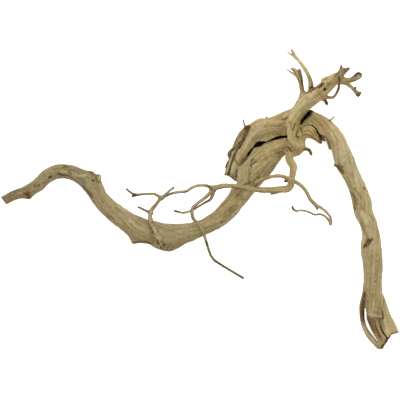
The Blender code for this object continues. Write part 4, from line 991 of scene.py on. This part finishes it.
# Rough, pitted wood: (x, y, reach, height)
ROUGH = [
    (-60.8, -30, 3.2, 0.7), (-58.6, -35.6, 3.6, 0.9), (-56.4, -41, 3.8, 1.0), (-54, -46.6, 4.2, 1.0),
    (-51, -52.4, 4.6, 1.1), (-47.8, -58.6, 5, 1.2), (-41, -61, 5, 0.6), (-35, -59, 4, 0.4),
    (40, -15, 8, 0.25), (32, -24, 7, 0.25), (100, 57, 5, 0.6), (112, 62, 5, 0.7), (125, 85, 4, 0.7),
    (122, 79, 4, 0.6),
    (135, 134, 5, 0.8), (152, 141, 4.4, 0.9), (157, 121, 4, 0.7), (157.6, 146.6, 4, 0.5), (196, 150, 4, 0.5),
    (234, -178, 5, 0.6), (228, -150, 3, 0.6), (-160, 35, 10, 0.3), (43, 27, 5, 0.4),
    (179, 161, 4, 0.5), (197, 155, 4, 0.6), (63, 21, 4.5, 0.5),
]
ROUGH_BLOB = 2.3


def weathering(limb):
    if limb.name in FADED:
        return FADED[limb.name]
    if limb.name in STOUT:
        return BARE
    if limb.name in SPLINTERS or limb.name.startswith("bark"):
        return BARK
    return TWIG


def tone(points):
    """The share of each colour channel at each point, smoothly between the places listed."""
    total = np.zeros((len(points), 2))
    weight = np.zeros((len(points), 1))
    for x, y, bright, warm in TONES:
        near = (TONE_REACH ** 2 + (points[:, 0] - x) ** 2 + (points[:, 1] - y) ** 2)[:, None] ** -2.0
        total += near * (bright, warm)
        weight += near
    bright, warm = (total / weight).T
    return np.column_stack((bright, bright * (1 - 0.25 * warm), bright * (1 - warm), np.ones(len(points))))


def width_from(points, line):
    """Each point's distance from the line seen from above, as a share of the line's half width there."""
    nearest = np.full(len(points), np.inf)
    for one, other in zip(np.array(line[:-1], float), np.array(line[1:], float)):
        run = other[:2] - one[:2]
        offset = points[:, :2] - one[:2]
        t = np.clip(offset @ run / (run @ run), 0, 1)
        away = np.hypot(*(offset - t[:, None] * run).T)
        nearest = np.minimum(nearest, away / (one[2] + t * (other[2] - one[2])))
    return nearest


class Paint:
    """The colour and cover that marks leave on each point, and how deep they are sunk."""

    def __init__(self, count):
        self.colour = np.tile(linear(*PAINTS["brown"])[:3], (count, 1))
        self.cover = np.zeros(count)
        self.depth = np.zeros(count)

    def add(self, where, paint, cover, depth=0.0):
        old = self.cover[where] * (1 - cover)
        total = old + cover
        share = (cover / np.maximum(total, 1e-6))[:, None]
        self.colour[where] += (np.array(linear(*PAINTS[paint])[:3]) - self.colour[where]) * share
        self.cover[where] = total
        self.depth[where] += depth * cover


# How a mark's edge wavers, and how it fades, as shares of its half width
EDGE_WAVER = 0.3
EDGE_BLOB = 1.7
SOFT_WIDTH = 1.3
CRISP_FROM = 0.65
CRISP_TO = 1.55


def paint_marks(points, seen):
    """Lays all marks, and the painted shade inside the slits, on the points."""
    paint = Paint(len(points))
    edge = 1 + EDGE_WAVER * noise(points / EDGE_BLOB, 21)
    for marks in MARKS.values():
        for name, strength, depth, line in marks:
            table = np.array(line, float)
            margin = 2.5 * table[:, 2].max()
            low, high = table[:, :2].min(axis=0) - margin, table[:, :2].max(axis=0) + margin
            where = np.flatnonzero(((points[:, :2] > low) & (points[:, :2] < high)).all(axis=1) & (seen > 0))
            away = width_from(points[where], line) * edge[where]
            if name in SOFT_PAINTS:
                shape = np.exp(-(away / SOFT_WIDTH) ** 2)
            else:
                shape = 1 - smooth_step(CRISP_FROM, CRISP_TO, away)
            paint.add(where, name, strength * seen[where] * shape, depth)
    # Painted shade inside the slits: black in deep slits, dark brown in shallow ones
    for name, line in SLITS.items():
        colour = "umber" if name in SHALLOW_SLITS else "ink"
        for ends in zip(line[:-1], line[1:]):
            table = np.array(ends, float)
            margin = table[:, 3].max() + 2.0
            low, high = table[:, :3].min(axis=0) - margin, table[:, :3].max(axis=0) + margin
            high[2] = SLIT_CEILING.get(name, np.inf)
            where = np.flatnonzero(((points > low) & (points < high)).all(axis=1))
            away = width_from(points[where], [(x, y, wide + 0.3) for x, y, _, wide in ends])
            paint.add(where, colour, 0.9 * (1 - smooth_step(0.7, 1.2, away)))
    for x, y, reach, height in ROUGH:
        away = np.hypot(points[:, 0] - x, points[:, 1] - y) / reach
        where = np.flatnonzero((away < 1.6) & (seen > 0))
        blobs = noise(points[where] / ROUGH_BLOB, 31) + 0.5 * noise(points[where] / (0.5 * ROUGH_BLOB), 32)
        near = np.exp(-away[where] ** 4) * seen[where]
        strength = near * min(1.0, height + 0.25)
        paint.add(where, "umber", 0.85 * strength * smooth_step(0.05, 0.4, -blobs))
        paint.add(where, "pale", 0.3 * strength * smooth_step(0.15, 0.5, blobs))
        paint.depth[where] -= height * near * blobs
    return paint


def smooth_step(low, high, value):
    t = np.clip((value - low) / (high - low), 0, 1)
    return t * t * (3 - 2 * t)


def point_values(limbs, field, points):
    """Where each point lies in the grain, and how forked, cracked, weathered, bright and painted it is."""
    owner = field.at(field.owner, points)
    along, angle, radius = limb_places(limbs, owner, points)
    twist = angle + along * FIBRE_TWIST
    fibre = np.stack((radius * np.cos(twist), radius * np.sin(twist), along + owner * LIMB_GAP), axis=1)
    fork = field.at(field.fork, points) / 255.0
    root, tip = np.array([weathering(limb) for limb in limbs])[owner].T
    reach = np.array([limb.along[-1] for limb in limbs])[owner]
    toward_tip = smooth_step(reach - TIP_LENGTH, reach, along)
    weather = root + (tip - root) * toward_tip
    patchy = noise(fibre / (5.0, 5.0, 9.0), 7) + 0.6 * noise(points / 2.6, 8)
    weather = np.clip(weather + 0.35 * patchy * smooth_step(0.0, 0.2, weather), 0, 1)
    line = noise(fibre / (4.2, 4.2, 60.0), 5)
    where = smooth_step(0.25, 0.5, noise(fibre / (11.0, 11.0, 45.0), 6))
    crack = (1 - smooth_step(0.0, 0.08, np.abs(line))) * where * smooth_step(5.0, 8.0, radius)
    grain = np.array([GRAIN.get(limb.name, 1.0) for limb in limbs])[owner]
    paint = paint_marks(points, field.in_view(points))
    return {
        "fibre": fibre, "fork": fork, "radius": radius, "weather": weather, "crack": crack, "grain": grain,
        "tone": tone(points), "paint": np.column_stack((paint.colour, paint.cover)), "depth": paint.depth,
    }


# The relief's height and its blobs' size, in millimetres. The ridges' blobs are long, along the grain.
COARSE_RIDGE = 0.4
COARSE_RIDGE_BLOB = (3.2, 3.2, 36.0)
FINE_RIDGE = 0.16
FINE_RIDGE_BLOB = (1.4, 1.4, 15.0)
BROAD_LUMP = 0.45
BROAD_LUMP_BLOB = 9.0
SMALL_LUMP = 0.3
SMALL_LUMP_BLOB = 4.0
CRACK_DEPTH = 0.6

# Limbs slimmer than this are less rough, and marks are less deep on them
FULL_GRAIN_RADIUS = 7.0
FULL_DEPTH_RADIUS = 4.0


def relief(points, values):
    """How far each point stands out of the smooth limb: lumps, ridges of grain, cracks and marks."""
    fibre, radius = values["fibre"], values["radius"]
    calm = 1 - 0.6 * values["fork"]
    ridges = COARSE_RIDGE * noise(fibre / COARSE_RIDGE_BLOB, 1)
    ridges = ridges + FINE_RIDGE * noise(fibre / FINE_RIDGE_BLOB, 2)
    lumps = BROAD_LUMP * noise(points / BROAD_LUMP_BLOB, 3)
    lumps = lumps + SMALL_LUMP * noise(points / SMALL_LUMP_BLOB, 4)
    rough = values["grain"] * (1 + 1.6 * values["weather"])
    size = np.clip(radius / FULL_GRAIN_RADIUS, 0.25, 1.0)
    sunk = values["depth"] * np.clip(radius / FULL_DEPTH_RADIUS, 0.3, 1.0)
    return size * (ridges * rough + lumps) * calm - CRACK_DEPTH * values["crack"] * calm - sunk


def make_skin():
    limbs = all_limbs()
    field = Field(limbs)
    for number, limb in enumerate(limbs):
        if number == len(STOUT):
            for name, points in SLITS.items():
                field.slit(points, SLIT_CEILING.get(name, NO_CEILING))
        field.lay(limb, number)
        if limb.name in CUTS:
            field.cut(limb, CUTS[limb.name])
    for pit in PITS:
        field.pit(*pit)
    field.wear_flat()
    points, quads = surface_net(field.value, field.low)
    skin = make_mesh("root_skin", points, quads)
    keep_largest_piece(skin)
    skin.data.calc_loop_triangles()
    fewer = skin.modifiers.new("fewer_faces", "DECIMATE")
    fewer.ratio = min(1.0, SKIN_TRIANGLES / len(skin.data.loop_triangles))
    apply_modifiers(skin)
    count = len(skin.data.vertices)
    flat = np.empty(3 * count, np.float32)
    skin.data.vertices.foreach_get("co", flat)
    points = flat.reshape(-1, 3).astype(float)
    skin.data.vertices.foreach_get("normal", flat)
    normals = flat.reshape(-1, 3).astype(float)
    values = point_values(limbs, field, points)
    raised = relief(points, values) * smooth_step(0.0, FULL_RELIEF, points[:, 2])
    points = points + normals * raised[:, None]
    points[:, 2] = np.maximum(points[:, 2], 0.0)
    skin.data.vertices.foreach_set("co", ((points + DRAWING_ZERO) * MM).astype(np.float32).ravel())
    for name in ("fork", "weather", "crack"):
        layer = skin.data.attributes.new(name, "FLOAT", "POINT")
        layer.data.foreach_set("value", values[name].astype(np.float32))
    for name in ("tone", "paint"):
        layer = skin.data.attributes.new(name, "FLOAT_COLOR", "POINT")
        layer.data.foreach_set("color", values[name].astype(np.float32).ravel())
    layer = skin.data.attributes.new("fibre", "FLOAT_VECTOR", "POINT")
    layer.data.foreach_set("vector", values["fibre"].astype(np.float32).ravel())
    skin.data.shade_smooth()
    skin.data.update()
    return skin


class Nodes:
    """A few short calls that build a material's node tree."""

    def __init__(self, name):
        self.material = bpy.data.materials.new(name)
        self.material.use_nodes = True
        self.tree = self.material.node_tree
        self.shader = self.tree.nodes["Principled BSDF"]

    def new(self, kind, inputs=None, **settings):
        node = self.tree.nodes.new(kind)
        for key, value in settings.items():
            setattr(node, key, value)
        for key, value in (inputs or {}).items():
            if isinstance(value, bpy.types.NodeSocket):
                self.tree.links.new(value, node.inputs[key])
            else:
                node.inputs[key].default_value = value
        return node

    def attribute(self, name, output="Fac"):
        return self.new("ShaderNodeAttribute", attribute_name=name).outputs[output]

    def noise(self, vector, scale, detail=4.0, roughness=0.55):
        inputs = {"Vector": vector, "Scale": scale, "Detail": detail, "Roughness": roughness}
        return self.new("ShaderNodeTexNoise", inputs).outputs["Fac"]

    def stretch(self, vector, factors):
        node = self.new("ShaderNodeVectorMath", {0: vector, 1: factors}, operation="MULTIPLY")
        return node.outputs["Vector"]

    def math(self, operation, a, b=0.0):
        return self.new("ShaderNodeMath", {0: a, 1: b}, operation=operation).outputs["Value"]

    def span(self, value, low, high, to_low=0.0, to_high=1.0):
        inputs = {"Value": value, "From Min": low, "From Max": high, "To Min": to_low, "To Max": to_high}
        return self.new("ShaderNodeMapRange", inputs, interpolation_type="SMOOTHSTEP").outputs["Result"]

    def mix(self, factor, one, other, blend="MIX"):
        node = self.new("ShaderNodeMix", data_type="RGBA", blend_type=blend)
        for key, value in ((0, factor), (6, one), (7, other)):
            if isinstance(value, bpy.types.NodeSocket):
                self.tree.links.new(value, node.inputs[key])
            else:
                node.inputs[key].default_value = value
        return node.outputs[2]

    def ramp(self, value, stops):
        node = self.new("ShaderNodeValToRGB", {"Fac": value})
        elements = node.color_ramp.elements
        for element, (place, colour) in zip(elements, (stops[0], stops[-1])):
            element.position = place
            element.color = colour
        for place, colour in stops[1:-1]:
            elements.new(place).color = colour
        return node.outputs["Color"]


# How many times brighter than its own colour a level face of the root looks in this light
EXPOSURE = 1.52


def linear(red, green, blue):
    """The shader's colour for wood that looks like this in the light, in screen values from 0 to 255."""
    channels = []
    for value in (red, green, blue):
        share = value / 255.0
        light = share / 12.92 if share <= 0.04045 else ((share + 0.055) / 1.055) ** 2.4
        channels.append(light / EXPOSURE)
    return (*channels, 1.0)


def wood_material():
    nodes = Nodes("stripped_root_wood")
    fibre = nodes.attribute("fibre", "Vector")
    place = nodes.new("ShaderNodeTexCoord").outputs["Object"]
    weather = nodes.attribute("weather")
    crack = nodes.attribute("crack")
    fork = nodes.attribute("fork")

    broad = nodes.noise(nodes.stretch(fibre, (0.16, 0.16, 0.018)), 1.0, 3.0)
    streak = nodes.noise(nodes.stretch(fibre, (0.36, 0.36, 0.02)), 1.0, 5.0, 0.65)
    fine = nodes.noise(nodes.stretch(fibre, (2.2, 2.2, 0.10)), 1.0, 3.0, 0.6)
    patch = nodes.noise(place, 22.0, 3.0)
    tone = nodes.math("ADD", nodes.math("MULTIPLY", streak, 0.55), nodes.math("MULTIPLY", broad, 0.30))
    tone = nodes.math("ADD", tone, nodes.math("MULTIPLY", fine, 0.15))
    bare = nodes.ramp(tone, [
        (0.34, linear(130, 109, 64)), (0.44, linear(158, 140, 95)), (0.52, linear(179, 162, 119)),
        (0.60, linear(196, 181, 140)), (0.70, linear(216, 203, 166)),
    ])
    warm = nodes.mix(nodes.span(patch, 0.48, 0.70, 0.0, 0.26), bare, linear(188, 157, 108))
    grey = nodes.mix(nodes.span(patch, 0.50, 0.32, 0.0, 0.40), warm, linear(168, 160, 126))
    barked = nodes.ramp(tone, [
        (0.36, linear(46, 35, 24)), (0.47, linear(88, 71, 48)), (0.56, linear(124, 105, 74)),
        (0.66, linear(170, 152, 112)),
    ])
    aged = nodes.mix(weather, grey, barked)
    # Painted shade: a darker brown in the forks, where the limbs join
    fork_shaded = nodes.mix(nodes.math("MULTIPLY", fork, 0.18), aged, linear(112, 90, 56))
    cracked = nodes.mix(nodes.math("MULTIPLY", crack, 0.6), fork_shaded, linear(84, 60, 32))
    toned = nodes.mix(1.0, cracked, nodes.attribute("tone", "Color"), "MULTIPLY")
    mottle = nodes.ramp(nodes.noise(place, 260.0, 4.0, 0.7), [
        (0.30, (0.78, 0.74, 0.64, 1.0)), (0.70, (1.20, 1.21, 1.22, 1.0)),
    ])
    shaded = nodes.mix(1.0, toned, mottle, "MULTIPLY")
    speckle = nodes.span(nodes.noise(place, 320.0, 3.0), 0.30, 0.62, 0.75, 1.1)
    cover = nodes.math("MULTIPLY", nodes.attribute("paint", "Alpha"), speckle)
    cover = nodes.new("ShaderNodeClamp", {"Value": cover}).outputs["Result"]
    painted = nodes.mix(cover, shaded, nodes.attribute("paint", "Color"))
    nodes.tree.links.new(painted, nodes.shader.inputs["Base Color"])

    rough = nodes.span(fine, 0.2, 0.8, 0.66, 0.86)
    nodes.tree.links.new(rough, nodes.shader.inputs["Roughness"])
    nodes.shader.inputs["Specular IOR Level"].default_value = 0.18
    grain = nodes.math("ADD", nodes.math("MULTIPLY", fine, 0.6), nodes.math("MULTIPLY", streak, 0.4))
    bump = nodes.new("ShaderNodeBump", {"Height": grain, "Strength": 0.6, "Distance": 0.8 * MM})
    nodes.tree.links.new(bump.outputs["Normal"], nodes.shader.inputs["Normal"])
    return nodes.material


FLOOR_SIZE = 40.0
FLOOR_COLOUR = (0.94, 0.94, 0.94, 1.0)
FLOOR_GLOW = 0.55
CAMERA_LENS = 720.0
CAMERA_SENSOR = 36.0
FRAME_WIDTH = 0.5
FRAME_HEIGHT_OF_FOCUS = 0.04
FRAME_CENTRE = (0.0, -1.25)

# The light: the dome's strength at the image's bottom and top, and the lamp's place, size and power
SKY_DIM = 0.80
SKY_BRIGHT = 1.95
KEY_PLACE = (0.3, 2.2, 2.4)
KEY_SIZE = 1.6
KEY_POWER = 14.0


def make_camera():
    data = bpy.data.cameras.new("camera")
    data.lens = CAMERA_LENS
    data.sensor_width = CAMERA_SENSOR
    data.clip_start = 0.5
    data.clip_end = 60.0
    camera = bpy.data.objects.new("camera", data)
    bpy.context.scene.collection.objects.link(camera)
    distance = FRAME_WIDTH * CAMERA_LENS / CAMERA_SENSOR
    x = (FRAME_CENTRE[0] + DRAWING_ZERO[0]) * MM
    y = (FRAME_CENTRE[1] + DRAWING_ZERO[1]) * MM
    camera.location = (x, y, distance + FRAME_HEIGHT_OF_FOCUS)
    bpy.context.scene.camera = camera


def make_floor():
    bm = bmesh.new()
    bmesh.ops.create_grid(bm, x_segments=1, y_segments=1, size=FLOOR_SIZE / 2)
    mesh = bpy.data.meshes.new("floor")
    bm.to_mesh(mesh)
    bm.free()
    floor = bpy.data.objects.new("floor", mesh)
    bpy.context.scene.collection.objects.link(floor)
    nodes = Nodes("pale_floor")
    nodes.shader.inputs["Base Color"].default_value = FLOOR_COLOUR
    nodes.shader.inputs["Emission Color"].default_value = (1.0, 1.0, 1.0, 1.0)
    nodes.shader.inputs["Emission Strength"].default_value = FLOOR_GLOW
    nodes.shader.inputs["Roughness"].default_value = 0.9
    nodes.shader.inputs["Specular IOR Level"].default_value = 0.0
    mesh.materials.append(nodes.material)


def area_light(name, location, size, power):
    data = bpy.data.lights.new(name, "AREA")
    data.shape = "DISK"
    data.size = size
    data.energy = power
    light = bpy.data.objects.new(name, data)
    light.location = location
    light.rotation_mode = "QUATERNION"
    light.rotation_quaternion = (-Vector(location)).to_track_quat("-Z", "Y")
    bpy.context.scene.collection.objects.link(light)


def light_the_scene():
    """A white dome, brighter towards the image's top, and one soft lamp on that side."""
    world = bpy.data.worlds.new("world")
    world.use_nodes = True
    tree = world.node_tree
    background = tree.nodes["Background"]
    background.inputs["Color"].default_value = (1.0, 1.0, 1.0, 1.0)
    heading = tree.nodes.new("ShaderNodeTexCoord").outputs["Generated"]
    parts = tree.nodes.new("ShaderNodeSeparateXYZ")
    tree.links.new(heading, parts.inputs["Vector"])
    slope = tree.nodes.new("ShaderNodeMapRange")
    for key, value in (("From Min", -1.0), ("From Max", 1.0), ("To Min", SKY_DIM), ("To Max", SKY_BRIGHT)):
        slope.inputs[key].default_value = value
    tree.links.new(parts.outputs["Y"], slope.inputs["Value"])
    tree.links.new(slope.outputs["Result"], background.inputs["Strength"])
    bpy.context.scene.world = world
    area_light("key", KEY_PLACE, KEY_SIZE, KEY_POWER)
    bpy.context.scene.view_settings.view_transform = "Standard"
    bpy.context.scene.view_settings.look = "None"


def main():
    skin = make_skin()
    skin.data.materials.append(wood_material())
    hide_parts(NODE)
    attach(skin, "root")
    make_camera()
    make_floor()
    light_the_scene()


main()
